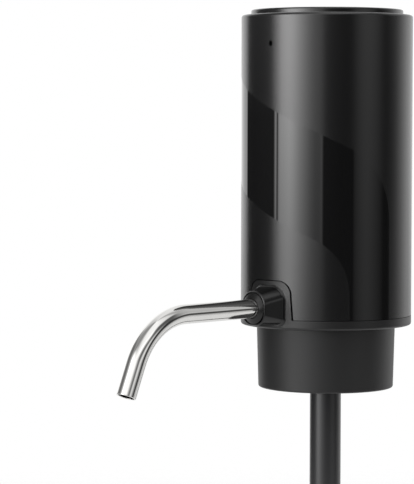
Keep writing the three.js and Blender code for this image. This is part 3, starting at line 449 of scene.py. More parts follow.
SATIN = moulded(
    "satin_black", (0.0044, 0.0044, 0.0046), 0.24, grain=0.0008, grain_size=0.1, ior=1.58
)
GLOSS = moulded("gloss_black", (0.0042, 0.0042, 0.0044), 0.03, ior=1.58)
SOFT = moulded(
    "soft_touch_black", (0.0045, 0.0045, 0.0047), 0.45, grain=0.002, grain_size=0.14, ior=1.5
)
BASE_LOOK = moulded(
    "base_black", (0.004, 0.004, 0.0042), 0.37, grain=0.0015, grain_size=0.12, ior=1.52
)
BOSS_LOOK = moulded(
    "boss_black", (0.003, 0.003, 0.0032), 0.21, grain=0.0008, grain_size=0.1, ior=1.48
)
BUTTON_LOOK = moulded(
    "button_black", (0.0045, 0.0045, 0.0047), 0.5, grain=0.0015, grain_size=0.14, ior=1.45
)
SILICONE = moulded(
    "silicone_black", (0.016, 0.016, 0.0165), 0.5, grain=0.0015, grain_size=0.2, ior=1.45
)
GROMMET_LOOK = moulded(
    "grommet_black", (0.005, 0.005, 0.005), 0.25, grain=0.0008, grain_size=0.2, ior=1.42
)
STEEL = moulded(
    "polished_steel", (0.68, 0.675, 0.66), 0.07, grain=0.0002, grain_size=0.3, metallic=1.0
)
DIP_TUBE = moulded("dip_tube_black", (0.018, 0.018, 0.019), 0.28, grain=0.001, grain_size=0.25)
FITTING = moulded("fitting_black", (0.012, 0.012, 0.0125), 0.4, grain=0.002, grain_size=0.15)
LENS = moulded("smoked_lens", (0.004, 0.004, 0.004), 0.12, ior=1.5)
PLATED = moulded(
    "plated_steel", (0.55, 0.56, 0.57), 0.28, grain=0.001, grain_size=0.08, metallic=1.0
)
BOARD = moulded(
    "circuit_board", (0.02, 0.13, 0.045), 0.35, grain=0.004, grain_size=0.5, spread=0.08
)
NYLON = moulded("natural_nylon", (0.70, 0.68, 0.61), 0.45, grain=0.003, grain_size=0.2)
HOSE = moulded("milky_hose", (0.58, 0.60, 0.57), 0.3, grain=0.002, grain_size=0.4)
GREY = moulded("grey_plastic", (0.14, 0.15, 0.16), 0.45, grain=0.004, grain_size=0.15)
COPPER = moulded(
    "rotor_copper", (0.60, 0.28, 0.14), 0.35, grain=0.02, grain_size=0.3, metallic=1.0, spread=0.1
)
FERRITE = moulded("ferrite", (0.045, 0.045, 0.047), 0.6, grain=0.01, grain_size=0.1)
CELL = moulded("cell_sleeve", (0.03, 0.14, 0.42), 0.2, grain=0.001, grain_size=0.8)
WIRE = moulded("wire_insulation", (0.40, 0.02, 0.02), 0.35, grain=0.001, grain_size=0.3)
LOOK_OF_SLOT = {
    "housing_satin": SATIN,
    "housing_gloss": GLOSS,
    "collar_soft": SOFT,
    "silicone": SILICONE,
    "spout_steel": STEEL,
    "dip_tube": DIP_TUBE,
    "tube_fittings": FITTING,
    "clear_lens": LENS,
    "zinc": PLATED,
    "circuit_board": BOARD,
    "white_nylon": NYLON,
    "clear_hose": HOSE,
    "grey_plastic": GREY,
    "copper": COPPER,
    "ferrite": FERRITE,
    "cell_wrap": CELL,
    "wire_red": WIRE,
}


# Outlines in X and Z
def arch(bottom, side=0.0, rise=0.0):
    corner = PAD["corner"]
    foot = PAD["foot_half"] + side
    quarter = [
        (PAD["top_half"] - corner + (corner + side) * c, PAD_TOP - corner + (corner + rise) * s)
        for c, s in arc((0, 0), 1, 0, 90)
    ]
    return [(-foot, bottom), (foot, bottom), *quarter, *[(-x, z) for x, z in reversed(quarter)]]


def stadium(width, height, z, x=0.0, steps=2 * STEPS):
    radius = min(width, height) / 2
    half = abs(width - height) / 2
    if height > width:
        ends = ((x, z + half), 0), ((x, z - half), 180)
    else:
        ends = ((x + half, z), -90), ((x - half, z), 90)
    halves = [arc(centre, radius, start, start + 180, steps) for centre, start in ends]
    return halves[0] + halves[1]


# Height of a ribbon's edge at each angle round the shell, and the angles where its turns need
# points
class RibbonEdge:
    def __init__(self, start, end, height, turn):
        self.start, self.end, self.height, self.turn = start, end, height, turn
        self.fall = math.tan(math.radians(RIBBON["slope"]))
        self.sine = math.sin(math.radians(RIBBON["slope"]))
        self.cosine = math.cos(math.radians(RIBBON["slope"]))
        self.reach = math.degrees(turn * (1 - self.sine) / BODY)

    def line(self, angle):
        return self.height - math.radians(angle - self.end) * BODY * self.fall

    def drop(self, beyond):
        """How far the turn has left the end of the line, at an angle beyond it."""
        sine = min(self.sine + math.radians(beyond) * BODY / self.turn, 1)
        return self.turn * (self.cosine - math.sqrt(1 - sine * sine))

    def at(self, angle):
        if angle > self.end:
            return self.line(self.end) - self.drop(angle - self.end)
        if angle < self.start:
            return self.line(self.start) + self.drop(self.start - angle)
        return self.line(angle)

    def turns(self):
        shares = [math.sin(math.pi / 2 * i / TURN_STEPS) for i in range(TURN_STEPS + 1)]
        reaches = [self.reach * share for share in shares]
        return [self.end + reach for reach in reaches] + [self.start - reach for reach in reaches]


def ribbon_cutter():
    upper, lower = RibbonEdge(**RIBBON_UPPER), RibbonEdge(**RIBBON_LOWER)
    first, last = lower.start - lower.reach, upper.end + upper.reach
    steps = round(last - first)
    angles = {round(first + (last - first) * i / steps, 3) for i in range(steps + 1)}
    angles |= {round(a, 3) for a in upper.turns() + lower.turns() if first < a < last}
    bottom, top = SHELL_LOW.z - OVERRUN, SHELL_HIGH.z + OVERRUN
    layers = []
    for angle in sorted(angles):
        low = bottom if angle > lower.end + lower.reach else max(lower.at(angle), bottom)
        high = top if angle < upper.start - upper.reach else min(upper.at(angle), top)
        turn = math.radians(angle)
        layers.append([
            (r * math.sin(turn), -r * math.cos(turn), z)
            for r, z in (
                (BODY - RIBBON["depth"], low),
                (BODY + RIBBON["proud"], low),
                (BODY + RIBBON["proud"], high),
                (BODY - RIBBON["depth"], high),
            )
        ])
    return lofted("ribbon_cutter", layers)


# Shell: satin wall and the gloss ribbon let into it
def shell():
    inner = BODY - WALL["shell"]
    lip_bottom = SHELL_HIGH.z - WALL["lip"]
    ledge = inner - WALL["ledge"]
    ledge_top = LEDGE_Z + WALL["ledge_height"]
    outline = [
        (inner, SHELL_LOW.z),
        (BODY, SHELL_LOW.z),
        *arc((BODY - WALL["top_edge"], SHELL_HIGH.z - WALL["top_edge"]), WALL["top_edge"], 0, 90),
        (WALL["lip_inner"], SHELL_HIGH.z),
        (WALL["lip_inner"], lip_bottom),
        (inner, lip_bottom),
        (inner, ledge_top + WALL["ledge"]),
        (ledge, ledge_top),
        (ledge, LEDGE_Z),
        (inner, LEDGE_Z),
    ]
    far, near = BODY + OVERRUN, BODY / 2
    lamp = (LAMP_LOW + LAMP_HIGH) / 2
    socket_z = (SOCKET_LOW.z + SOCKET_HIGH.z) / 2
    width = SOCKET_HIGH.x - SOCKET_LOW.x + 2 * SLOT["gap"]
    height = SOCKET_HIGH.z - SOCKET_LOW.z + 2 * SLOT["gap"]
    wall = combine(
        turned("shell_wall", outline),
        "DIFFERENCE",
        prism("notch", arch(SHELL_LOW.z - OVERRUN, PAD["slit"], PAD["top_slit"]), -far, -near),
        prism("pinhole", stadium(PINHOLE["width"], PINHOLE["height"], lamp.z, lamp.x), -far, -near),
        prism("slot", stadium(width, height, socket_z), near, far),
    )
    ribbon = combine(copy_of(wall, "gloss_ribbon"), "INTERSECT", ribbon_cutter())
    combine(wall, "DIFFERENCE", ribbon_cutter())
    shade(wall, BODY, inner)
    shade(ribbon, BODY, BODY - RIBBON["depth"])
    dress(wall, SATIN, nodes=["outer_shell"])
    dress(ribbon, GLOSS, nodes=["outer_shell"])


# Spout's boss: a loft from its foot on the pad, with a fillet round it, to its flat face
def boss_solid():
    def ring(size, z, grow, distance_at):
        width, height, upper, lower = size
        points = []
        for side_x, side_z, start in ((1, 1, 0), (-1, 1, 90), (-1, -1, 180), (1, -1, 270)):
            corner = upper if side_z > 0 else lower
            centre = (side_x * (width / 2 - corner), z + side_z * (height / 2 - corner))
            points += arc(centre, corner + grow, start, start + 90, 2 * STEPS)
        return [(x, -distance_at(x), z) for x, z in points]

    def foot_ring(grow, rise):
        z = SPOUT_Z + BOSS["foot_rise"]
        return ring(BOSS["foot"], z, grow, lambda x: math.sqrt(BODY**2 - x**2) + rise)

    def face_ring(grow, rise):
        return ring(BOSS["face"], SPOUT_Z, grow, lambda x: BOSS_FACE + rise)

    fillet, edge, sink = BOSS["fillet"], BOSS["edge"], BOSS["sink"]
    layers = [foot_ring(fillet, -BOSS["root"])]
    for cosine, sine in arc((0, 0), fillet, 0, 90):
        layers.append(foot_ring(fillet - sine, fillet - cosine - sink))
    for inward, outward in arc((0, 0), edge, 90, 0):
        layers.append(face_ring(inward - edge, outward - edge))
    return lofted("boss", layers)


def tube_holes():
    far = BOSS_FACE + OVERRUN
    tube_end, shank_end = BOSS_FACE - SPOUT["inset"], BOSS_FACE - GROMMET["shank_length"]
    return [
        rod("tube_hole", GROMMET["hole"], tube_end, far, place=outwards),
        rod("shank_hole", GROMMET["shank"] + DIP["fit"], shank_end, far, place=outwards),
    ]


def boss():
    piece = shade(combine(boss_solid(), "DIFFERENCE", *tube_holes()))
    piece.name = "spout_boss"
    dress(piece, BOSS_LOOK, nodes=["base_housing"])


# Base: ring and pad cut from one round, spigot, ducts and screw holes
def base():
    seam = BASE_BOTTOM + RING["height"]
    floor_top = BASE_BOTTOM + RING["floor"]
    floor_low = BASE_BOTTOM + RING["edge"]
    below, above = BASE_BOTTOM - OVERRUN, floor_top + OVERRUN
    outer, inner = RING["spigot_outer"], RING["spigot_inner"]
    edge = arc((BODY - RING["edge"], floor_low), RING["edge"], -90, 0)
    high = PAD_TOP + OVERRUN
    piece = turned("base_body", [(0, BASE_BOTTOM), *edge, (BODY, high), (0, high)])
    far = BODY + OVERRUN
    keep = block("ring_slab", (-far, -far, below), (far, far, seam))
    pad = prism("pad", arch(floor_low), -far, PAD["depth"] - BODY)
    combine(piece, "INTERSECT", combine(keep, "UNION", pad))
    spigot = [
        (0, floor_low),
        (outer, floor_low),
        (outer, seam + RING["spigot"]),
        (inner, seam + RING["spigot"]),
        (inner, floor_top),
        (0, floor_top),
    ]
    bore = TUBE - SPOUT["wall"]
    air, air_top = upright(DUCT["air_x"]), DUCT["air_top"]
    combine(
        piece,
        "UNION",
        turned("spigot", spigot),
        rod("duct", DUCT["outer"], -DUCT["outer"], BODY - PAD["depth"] + OVERRUN, place=outwards),
        rod("nipple", DUCT["nipple"], BASE_LOW.z, floor_top - OVERRUN),
        rod("air_nipple", DUCT["air_nipple"], floor_low, air_top, place=air),
    )
    holes = [
        boss_solid(),
        *tube_holes(),
        rod("wine_way", bore, -bore, BOSS_FACE - SPOUT["inset"] + OVERRUN, place=outwards),
        rod("wine_riser", bore, BASE_LOW.z - OVERRUN, SPOUT_Z),
        rod("air_way", DUCT["air_bore"], below, air_top + OVERRUN, place=air),
    ]
    seat_top = BASE_BOTTOM + BASE_SCREWS["head_height"]
    for at in on_circle(BASE_SCREWS):
        holes.append(rod("screw_hole", BASE_SCREWS["shank"], below, above, place=at))
        holes.append(rod("screw_seat", BASE_SCREWS["head"], below, seat_top, place=at))
    for at in on_circle(COLLAR_SCREWS):
        holes.append(rod("collar_hole", COLLAR_SCREWS["shank"], below, above, place=at))
    combine(piece, "DIFFERENCE", *holes)
    shade(piece, BODY)
    dress(piece, BASE_LOOK, nodes=["base_housing"])


# Bent spout: a tube turned along its own centre line
def spout():
    start = -SPOUT_HIGH.y
    straight = BOSS_FACE + SPOUT["straight"] - start
    turn = math.radians(SPOUT["angle"])
    bend = SPOUT["bend"] * turn
    length = straight + bend + SPOUT["tail"]

    def along(r, angle, s):
        bent = min(max((s - straight) / SPOUT["bend"], 0), turn)
        rest = max(s - straight - bend, 0)
        out = start + min(s, straight) + SPOUT["bend"] * math.sin(bent) + rest * math.cos(bent)
        down = SPOUT["bend"] * (1 - math.cos(bent)) + rest * math.sin(bent)
        across, rise = r * math.cos(angle), r * math.sin(angle)
        return (across, -out - rise * math.sin(bent), SPOUT_Z - down + rise * math.cos(bent))

    lip = SPOUT["lip"]
    bore = TUBE - SPOUT["wall"]
    bends = [straight + bend * i / BEND_STEPS for i in range(BEND_STEPS + 1)]
    stations = [0, straight / 2, *bends, length - SPOUT["tail"] / 2]
    outline = [
        *[(TUBE, s) for s in stations],
        *arc((TUBE - lip, length - lip), lip, 0, 90, STEPS // 2),
        *arc((bore + lip, length - lip), lip, 90, 180, STEPS // 2),
        *[(bore, s) for s in reversed(stations)],
    ]
    piece = shade(turned("spout_pipe", outline, SMALL_SIDES, along))
    dress(piece, STEEL, "spout", ["spout_tube"])


# Grommet round the tube: a crowned cone on the boss's face, rounded where it meets the tube
def grommet():
    head = BUSHING_HIGH.x + GROMMET["spread"]
    inner, shank, crown, lip = (GROMMET[key] for key in ("inner", "shank", "crown", "lip"))
    cone = arc((0, 0), crown, *GROMMET["cone"])
    out, up = head - cone[0][0], BOSS_FACE + GROMMET["step"] - cone[0][1]
    cone = [(out + r, up + h) for r, h in cone if out + r > inner + lip]
    top = cone[-1][1] - lip
    outline = [
        (inner, BOSS_FACE - GROMMET["shank_length"]),
        (shank, BOSS_FACE - GROMMET["shank_length"]),
        (shank, BOSS_FACE),
        (head, BOSS_FACE),
        *cone,
        *arc((inner + lip, top), lip, GROMMET["lip_start"], 180),
    ]

    def taller(r, angle, distance):
        share = max(r - shank, 0) / (head - shank)
        x, y, z = outwards(r, angle, distance)
        return (x, y, z + GROMMET["rise"] * share * r * math.sin(angle))

    piece = shade(turned("spout_grommet", outline, SMALL_SIDES, taller))
    dress(piece, GROMMET_LOOK, nodes=["spout_bushing"])


# Button: rounded rim, retaining flange and a stem over the switch, with the dish in a softer face
# let into its top
def button():
    radius, edge = CAP["radius"], CAP["edge"]
    top = BUTTON_HIGH.z
    dish_radius = radius - CAP["rim"]
    shares = [i / CAP["dish_steps"] for i in range(CAP["dish_steps"] - 1, 0, -1)]
    depths = [CAP["dish"] * (1 - share * share) ** CAP["dish_power"] for share in shares]
    dish = [(dish_radius * share, top - depth) for share, depth in zip(shares, depths)]
    outline = [
        (0, BUTTON_LOW.z),
        (CAP_INNER["stem"], BUTTON_LOW.z),
        (CAP_INNER["stem"], CAP_INNER["under"]),
        (CAP_INNER["skirt"], CAP_INNER["under"]),
        (CAP_INNER["skirt"], CAP["flange_low"]),
        (BUTTON_HIGH.x, CAP["flange_low"]),
        (BUTTON_HIGH.x, CAP["flange_top"]),
        (radius, CAP["flange_top"]),
        *arc((radius - edge, top - edge), edge, 0, 90),
        (CAP_FACE["radius"], top),
        (CAP_FACE["radius"], top - CAP_FACE["depth"]),
        (0, top - CAP_FACE["depth"]),
    ]
    cap = shade(turned("button_cap", outline))
    outline = [
        (0, top - CAP_FACE["depth"]),
        (CAP_FACE["radius"], top - CAP_FACE["depth"]),
        (CAP_FACE["radius"], top),
        (dish_radius, top),
        *dish,
        (0, top - CAP["dish"]),
    ]
    face = shade(turned("button_face", outline))
    for piece, look in ((cap, SATIN), (face, BUTTON_LOOK)):
        dress(piece, look, "button", ["press_button"])


# Spring under the button: closed end turns and open ones between
def spring():
    low, high = box("button_spring")
    wire, turns, closed = SPRING["wire"], SPRING["turns"], SPRING["closed"]
    bottom, top = low.z + wire, high.z - wire
    closed_pitch = 2 * wire
    open_pitch = (top - bottom - 2 * closed_pitch * closed) / (turns - 2 * closed)

    def along(r, angle, turn):
        in_open = max(min(turn, turns - closed) - closed, 0)
        in_closed = min(turn, closed) + max(turn - turns + closed, 0)
        rise = in_closed * closed_pitch + in_open * open_pitch
        reach, way = SPRING["radius"] + r * math.cos(angle), 2 * math.pi * turn
        return (reach * math.cos(way), reach * math.sin(way), bottom + rise + r * math.sin(angle))

    steps = round(turns * SPRING["steps"])
    outline = [(0, 0), *[(wire, turns * i / steps) for i in range(steps + 1)], (0, turns)]
    piece = shade(turned("spring_coil", outline, SPRING["sides"], along))
    dress(piece, PLATED, nodes=["button_spring"])
    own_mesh(piece)


# Collar: tapered sleeve with rounded rims
def collar():
    top, low = COLLAR_HIGH.z, COLLAR_LOW.z
    edge, rim = COLLAR["edge"], COLLAR["rim"]
    taper = math.degrees(math.atan2(COLLAR["top"] - COLLAR["bottom"], top - low))
    outline = [
        (COLLAR["seat"], top),
        (COLLAR["seat"], -COLLAR["seat_depth"]),
        (COLLAR["bore"], -COLLAR["seat_depth"] - (COLLAR["bore"] - COLLAR["seat"])),
        *arc((COLLAR["bore"] + rim, low + rim), rim, 180, 270, STEPS // 2),
        *arc((COLLAR["bottom"] - edge, low + edge), edge, -90, -taper),
        *arc((COLLAR["top"] - rim, top - rim), rim, -taper, 90, STEPS // 2),
    ]
    piece = turned("collar_sleeve", outline)
    depth = top - COLLAR_SCREWS["depth"]
    holes = [
        rod("collar_hole", COLLAR_SCREWS["shank"], depth, top + OVERRUN, place=at)
        for at in on_circle(COLLAR_SCREWS)
    ]
    shade(combine(piece, "DIFFERENCE", *holes))
    dress(piece, SOFT, nodes=["neck_collar"])


# Stopper: flange and a plug with flared lips
def stopper():
    plug, low, top = SEAL["plug"], SEAL_LOW.z, SEAL_HIGH.z
    pitch = (-low - SEAL["lip_height"]) / SEAL["lips"]
    edge = SEAL["edge"] / 2
    lips = []
    for i in reversed(range(SEAL["lips"])):
        lip_top = -pitch * (i + 1 - SEAL["lip"] / SEAL["lip_height"])
        centre = (plug + SEAL["lip"] - edge, lip_top - edge)
        lips += [
            (plug, lip_top - SEAL["lip_height"]),
            *arc(centre, edge, SEAL["lip_start"], 90, STEPS // 2),
            (plug, lip_top),
        ]
    outline = [
        (SEAL["bore"], top),
        (SEAL["bore"], low),
        (plug - SEAL["lip"], low),
        *lips,
        (plug, 0),
        *arc((SEAL["flange"] - SEAL["edge"], SEAL["edge"]), SEAL["edge"], -90, 0, STEPS // 2),
        (SEAL["flange"], top),
    ]
    at = upright(DUCT["air_x"])
    air = rod("air_hole", SEAL["air_hole"], low - OVERRUN, top + OVERRUN, place=at)
    piece = shade(combine(turned("stopper_body", outline, 2 * SMALL_SIDES), "DIFFERENCE", air))
    dress(piece, SILICONE, nodes=["bottle_seal"])


# Dip tube: three stages, the glands on the first two and the foot on the last
def stage(node, name, index, body):
    low, high = box(node)
    outer, end, steps = DIP["radius"][index], DIP["end"], DIP["end_steps"]
    inner = outer - DIP["wall"]
    outline = [
        *arc((inner + end, low.z + end), end, 180, 270, steps),
        *arc((outer - end, low.z + end), end, 270, 360, steps),
        *arc((outer - end, high.z - end), end, 0, 90, steps),
        *arc((inner + end, high.z - end), end, 90, 180, steps),
    ]
    dress(shade(turned(name, outline, SMALL_SIDES)), DIP_TUBE, body, [node])


def gland(node, name, index, body):
    low, high = box(node)
    socket = DIP["radius"][index] + DIP["fit"]
    slide = DIP["radius"][index + 1] + DIP["fit"]
    outer = socket + DIP["gland_wall"]
    radius = DIP["gland_wall"] / 2
    outline = [
        (slide, low.z),
        *arc((outer - radius, low.z + radius), radius, -90, 0),
        *arc((outer - radius, high.z - radius), radius, 0, 90),
        (socket, high.z),
        (socket, low.z + DIP["gland_lip"]),
        (slide, low.z + DIP["gland_lip"]),
    ]
    dress(shade(turned(name, outline, SMALL_SIDES)), FITTING, body, [node])


def intake():
    low, high = box("intake_foot")
    tube_radius = DIP["radius"][2]
    inner, socket = tube_radius - DIP["wall"], tube_radius + DIP["fit"]
    outer = socket + DIP["gland_wall"]
    shelf = low.z + FOOT["skirt"]
    edge = DIP["gland_wall"] / 3
    outline = [
        (inner, shelf),
        (socket, shelf),
        (socket, high.z),
        *arc((outer - edge, high.z - edge), edge, 90, 0, STEPS // 2),
        *arc((outer - edge, low.z + edge), edge, 0, -90, STEPS // 2),
        (outer - DIP["gland_wall"], low.z),
        (inner, shelf - DIP["gland_wall"]),
    ]
    half = FOOT["slot"] / 2
    slot_top = shelf - DIP["gland_wall"] - half
    far, below = outer + OVERRUN, low.z - OVERRUN
    slot = [(-half, below), (half, below), *arc((0, slot_top - half), half, 0, 180)]
    piece = combine(
        turned("foot_cap", outline, SMALL_SIDES),
        "DIFFERENCE",
        prism("slot_across", slot, -far, far),
        lofted("slot_along", [[(x, y, z) for y, z in slot] for x in (-far, far)]),
    )
    dress(shade(piece), FITTING, "dip_lower", ["intake_foot"])


# Charging socket: drawn metal shell with a rolled mouth, and its contact tongue
def socket():
    z = (SOCKET_LOW.z + SOCKET_HIGH.z) / 2
    width, height = SOCKET_HIGH.x - SOCKET_LOW.x, SOCKET_HIGH.z - SOCKET_LOW.z
    mouth, back, lip, wall = SOCKET_HIGH.y, SOCKET_LOW.y, SLOT["lip"], SLOT["wall"]

    def layer(inset, y):
        return [(x, y, h) for x, h in stadium(width - 2 * inset, height - 2 * inset, z)]

    roll = [layer(lip * inwards, mouth - lip * behind) for inwards, behind in SLOT["roll"]]
    shell_piece = lofted("socket_shell", [layer(0, back), *roll])
    hollow = lofted("hollow", [layer(wall, back + OVERRUN), layer(wall, mouth + OVERRUN)])
    combine(shell_piece, "DIFFERENCE", hollow)
    half = SLOT["tongue_share"] * width / 2
    tongue = SLOT["tongue"] / 2
    low = (-half, back + OVERRUN / 2, z - tongue)
    high = (half, mouth - OVERRUN, z + tongue)
    combine(shell_piece, "UNION", block("tongue", low, high))
    dress(shade(shell_piece), PLATED, nodes=["charge_socket"])


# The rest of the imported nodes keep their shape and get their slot's finish
def finish_nodes():
    slots = {part["node"]: part["material_slot"] for part in frame["record"]["subparts"]}
    for name, node in frame["nodes"].items():
        node.data.materials.clear()
        node.data.materials.append(LOOK_OF_SLOT[slots[name]])


# Camera at the photograph's place and angle
CAMERA = {
    "azimuth": 41.5,
    "distance": 631.9,
    "height": 57.84,
    "pan": 2.919,
    "pitch": 3.069,
    "roll": 0.108,
    "focal_pixels": 2339.4,
    "long_side_pixels": 484,
    "sensor": 36,
    "clip": (0.01, 50),
}


def camera():
    azimuth, pan = math.radians(CAMERA["azimuth"]), math.radians(CAMERA["pan"])
    pitch, roll = math.radians(CAMERA["pitch"]), math.radians(CAMERA["roll"])
    level = Matrix.Rotation(pan, 3, "Z") @ Vector((-math.sin(azimuth), math.cos(azimuth), 0))
    forward = Vector((level.x * math.cos(pitch), level.y * math.cos(pitch), -math.sin(pitch)))
    right = Vector((level.y, -level.x, 0))
    up = right.cross(forward)
    tilted_right = right * math.cos(roll) + up * math.sin(roll)
    tilted_up = up * math.cos(roll) - right * math.sin(roll)
    data = bpy.data.cameras.new("photo_camera")
    data.sensor_width = CAMERA["sensor"]
    data.lens = data.sensor_width * CAMERA["focal_pixels"] / CAMERA["long_side_pixels"]
    data.clip_start, data.clip_end = CAMERA["clip"]
    eye = bpy.data.objects.new("photo_camera", data)
    bpy.context.collection.objects.link(eye)
    east, south = CAMERA["distance"] * math.sin(azimuth), CAMERA["distance"] * math.cos(azimuth)
    place = Vector((east, -south, CAMERA["height"])) * MM
    rotation = Matrix((tilted_right, tilted_up, -forward)).transposed()
    eye.matrix_world = Matrix.Translation(place) @ rotation.to_4x4()
    bpy.context.scene.camera = eye


# Studio: what stands round the object, by degrees from -Y towards +X and by degrees above the
# horizon. A soft light on the left of the camera, a weaker one on the right, soft boxes overhead,
# a white backdrop behind, and dark screens between them. Each is a level, its shares round the
# object and its shares upwards, and they add up where they overlap.
KEY_TOP = (
    0.8,
    [(-20, 0), (-14, 1), (0, 1), (10, 0.5), (20, 0)],
    [(24, 0), (32, 1), (44, 0.6), (52, 0)],
)
KEY_LAMP = (
    5.2,
    [
        (-32.6, 0), (-32.0, 0.52), (-28.9, 0.52), (-28.5, 0), (-27.0, 0), (-26.4, 0.6), (-24, 0.75),
        (-22, 0.82), (-16, 0.92), (-10, 1.0), (-5, 0.93), (0, 0.77), (6, 0.57), (13, 0.39),
        (20, 0.24), (26, 0.16), (32, 0.14), (35.6, 0.175), (37.2, 0.015), (62, 0),
    ],
    [
        (-22, 0), (-12, 0.18), (-8, 0.32), (-5, 0.54), (-2, 0.83), (0, 1.05), (2, 1.4), (5, 2.1),
        (7.5, 2.4), (10, 0.8), (16, 0.25), (22, 0.15), (27, 0.1), (46, 0),
    ],
)
SIDE_LAMP = (
    0.42,
    [
        (77.2, 0), (78.6, 0.3), (82, 0.6), (87, 0.88), (93, 1.08), (98, 1.12), (104, 0.97),
        (110, 0.72), (116, 0.45), (124, 0.02), (130, 0),
    ],
    [
        (-30, 0.1), (-12, 0.45), (-3, 0.8), (0, 1.0), (5, 1.6), (9, 2.2), (12, 1.7), (16, 0.6),
        (20, 0.2), (24, 0),
    ],
)
SIDE_RISE = (
    1.0,
    [
        (100, 0), (106, 0.4), (117, 0.45), (121, 0.35), (124, 0), (129, 0), (133, 0.5), (142, 0.5),
        (160, 0),
    ],
    [(4, 0), (7, 0.8), (12, 1), (16, 0)],
)
SIDE_FOOT = (
    0.5,
    [(128, 0), (133, 0.8), (142, 1), (150, 0.6), (160, 0)],
    [(-30, 1), (-9, 1), (-6, 0)],
)
BACKDROP_LEFT = (
    1.0,
    [(-179, 1.1), (-160, 1.0), (-140, 1.03), (-120, 1.25), (-93.4, 1.3), (-91.6, 0)],
    [
        (-10, 0.5), (-4.2, 0.82), (-3, 0.93), (-2, 1.04), (-1, 1.12), (1, 1.12), (2.4, 1.02),
        (36, 1), (46, 0),
    ],
)
BACKDROP_RIGHT = (
    1.0,
    [(131, 0), (135, 0.06), (140, 0.12), (147, 0.28), (155, 0.56), (165, 0.84), (179, 1.1)],
    [(36, 1), (46, 0)],
)
BACKDROP_EDGE = (
    0.18,
    [(150, 0), (160, 0.8), (170, 1), (179, 1)],
    [(-7, 0), (-4, 0.6), (0, 1), (4, 1), (8, 0)],
)
SCREENS_LEFT = (
    1.0,
    [(-92, 0), (-91, 0.04), (-70, 0.055), (-55, 0.08), (-42, 0.1), (-33, 0.12), (-30, 0)],
    [(-6, 0.5), (-3.5, 0.7), (-1.5, 0.95), (0, 1.1), (1.5, 2.2), (4, 4.2), (12, 4.5), (20, 1)],
)
SCREENS_RIGHT = (0.04, [(37, 0), (64, 1), (132, 1), (136, 0)], [(0, 1)])
OVERHEAD_FRONT = (
    1.0,
    [
        (-92, 0), (-86, 0.25), (-76, 0.2), (-68, 0.12), (-52, 0.1), (-42, 0.25), (-35, 0.4),
        (-28, 0.55), (-22, 0.85), (-12, 1.2), (25, 1.35), (38, 1.5), (46, 1.4), (52, 1.1),
        (62, 0.55), (72, 0.2), (82, 0.06), (98, 0.14), (120, 0.08), (126, 0.1), (130, 0.35),
        (134, 0.5), (142, 0.5), (150, 0.3), (158, 0.1), (165, 0),
    ],
    [(8, 0), (16, 1), (36, 1), (46, 0)],
)
OVERHEAD_RIGHT = (
    1.25,
    [(46, 0), (54, 0.55), (62, 0.9), (70, 1), (94, 1), (100, 0.25), (106, 0)],
    [(24, 0), (31, 0.5), (35, 1), (38, 1), (46, 0)],
)
OVERHEAD = (
    1.0,
    [
        (-179, 1.05), (-140, 1.1), (-110, 1.0), (-92, 0.8), (-76, 0.5), (-60, 0.3), (-26, 0.3),
        (-8, 0.45), (11, 0.7), (22, 1.0), (30, 1.2), (45, 1.3), (95, 1.35), (112, 1.1), (126, 0.9),
        (136, 0.5), (150, 0.6), (170, 1.0),
    ],
    [(36, 0), (46, 1)],
)
STUDIO = (
    KEY_LAMP,
    KEY_TOP,
    SIDE_LAMP,
    SIDE_RISE,
    SIDE_FOOT,
    BACKDROP_LEFT,
    BACKDROP_RIGHT,
    BACKDROP_EDGE,
    SCREENS_LEFT,
    SCREENS_RIGHT,
    OVERHEAD_FRONT,
    OVERHEAD_RIGHT,
    OVERHEAD,
)


class Graph:
    """Short forms for wiring a tree of nodes."""

    def __init__(self, tree):
        self.nodes, self.links = tree.nodes, tree.links

    def place(self, kind):
        split = self.nodes.new("ShaderNodeSeparateXYZ")
        place = self.nodes.new("ShaderNodeTexCoord").outputs[kind]
        self.links.new(place, split.inputs["Vector"])
        return split.outputs

    def math(self, operation, *values):
        made = self.nodes.new("ShaderNodeMath")
        made.operation = operation
        for socket_in, value in zip(made.inputs, values):
            if isinstance(value, (int, float)):
                socket_in.default_value = value
            else:
                self.links.new(value, socket_in)
        return made.outputs["Value"]

    def ramp(self, source, stops):
        made = self.nodes.new("ShaderNodeValToRGB")
        elements = made.color_ramp.elements
        while len(elements) > 1:
            elements.remove(elements[-1])
        for i, (place, level) in enumerate(stops):
            element = elements[0] if i == 0 else elements.new(place)
            element.position = place
            element.color = (level, level, level, 1)
        self.links.new(source, made.inputs["Fac"])
        return made.outputs["Color"]


def studio():
    world = bpy.data.worlds.new("studio")
    bpy.context.scene.world = world
    world.use_nodes = True
    graph = Graph(world.node_tree)
    x, y, z = graph.place("Generated")
    azimuth = graph.math("ARCTAN2", x, graph.math("MULTIPLY", y, -1.0))
    around = graph.math("MULTIPLY_ADD", azimuth, 1 / (2 * math.pi), 0.5)
    height = graph.math("MULTIPLY_ADD", z, 0.5, 0.5)
    level = 0.0
    for strength, turns, rises in STUDIO:
        beside = [(angle / 360 + 0.5, share) for angle, share in turns]
        above = [(math.sin(math.radians(angle)) / 2 + 0.5, share) for angle, share in rises]
        part = graph.math("MULTIPLY", graph.ramp(around, beside), graph.ramp(height, above))
        level = graph.math("ADD", graph.math("MULTIPLY", part, strength), level)
    rays = graph.nodes.new("ShaderNodeLightPath").outputs
    shown = graph.math("MAXIMUM", rays["Is Camera Ray"], rays["Is Transmission Ray"])
    mix = graph.nodes.new("ShaderNodeMix")
    graph.links.new(shown, mix.inputs["Factor"])
    graph.links.new(level, mix.inputs["A"])
    mix.inputs["B"].default_value = 1.0
    graph.links.new(mix.outputs["Result"], graph.nodes["Background"].inputs["Strength"])
    graph.nodes["Background"].inputs["Color"].default_value = (1, 1, 1, 1)


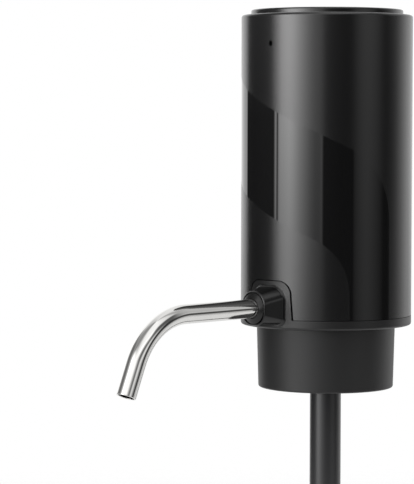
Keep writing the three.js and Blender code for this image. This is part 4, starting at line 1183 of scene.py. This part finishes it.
# Pale floor that fades into the backdrop, under the foot of the dip tube also when that slides
# out. It fades between two shares of its radius.
FLOOR = {
    "radius": 560,
    "drop": 0.2,
    "fade": (0.4, 0.97),
    "colour": 0.62,
    "roughness": 0.9,
    "specular": 0.1,
    "lift": 0.36,
}


def floor():
    low = CAD_BOX[0].z / MM - FLOOR["drop"]
    angles = [2 * math.pi * i / SMALL_SIDES for i in range(SMALL_SIDES)]
    rim = [upright()(FLOOR["radius"], angle, low) for angle in angles]
    sheet = new_piece("floor", rim, [list(range(SMALL_SIDES))])
    look = bpy.data.materials.new("pale_floor")
    look.use_nodes = True
    graph = Graph(look.node_tree)
    shader = graph.nodes["Principled BSDF"]
    shader.inputs["Base Color"].default_value = (*[FLOOR["colour"]] * 3, 1)
    shader.inputs["Roughness"].default_value = FLOOR["roughness"]
    shader.inputs["Specular IOR Level"].default_value = FLOOR["specular"]
    shader.inputs["Emission Color"].default_value = (1, 1, 1, 1)
    rays = graph.nodes.new("ShaderNodeLightPath").outputs
    seen = graph.math("MAXIMUM", rays["Is Camera Ray"], rays["Is Glossy Ray"])
    seen = graph.math("MAXIMUM", seen, rays["Is Transmission Ray"])
    graph.links.new(graph.math("MULTIPLY", seen, FLOOR["lift"]), shader.inputs["Emission Strength"])
    x, y, _ = graph.place("Object")
    squares = graph.math("ADD", graph.math("POWER", x, 2.0), graph.math("POWER", y, 2.0))
    share = graph.math("DIVIDE", graph.math("SQRT", squares), FLOOR["radius"] * MM)
    fade = graph.ramp(share, list(zip(FLOOR["fade"], (1, 0))))
    graph.links.new(fade, shader.inputs["Alpha"])
    sheet.data.materials.append(look)
    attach(sheet, "dip_lower")


camera()
studio()
floor()
finish_nodes()
shell()
base()
boss()
spout()
grommet()
button()
spring()
collar()
stopper()
stage("tube_upper", "dip_upper", 0, "root")
stage("tube_middle", "dip_middle_tube", 1, "dip_middle")
stage("tube_lower", "dip_lower_tube", 2, "dip_lower")
gland("upper_gland", "upper_gland_ring", 0, "root")
gland("lower_gland", "lower_gland_ring", 1, "dip_middle")
intake()
socket()

bpy.context.scene.view_settings.view_transform = "Standard"
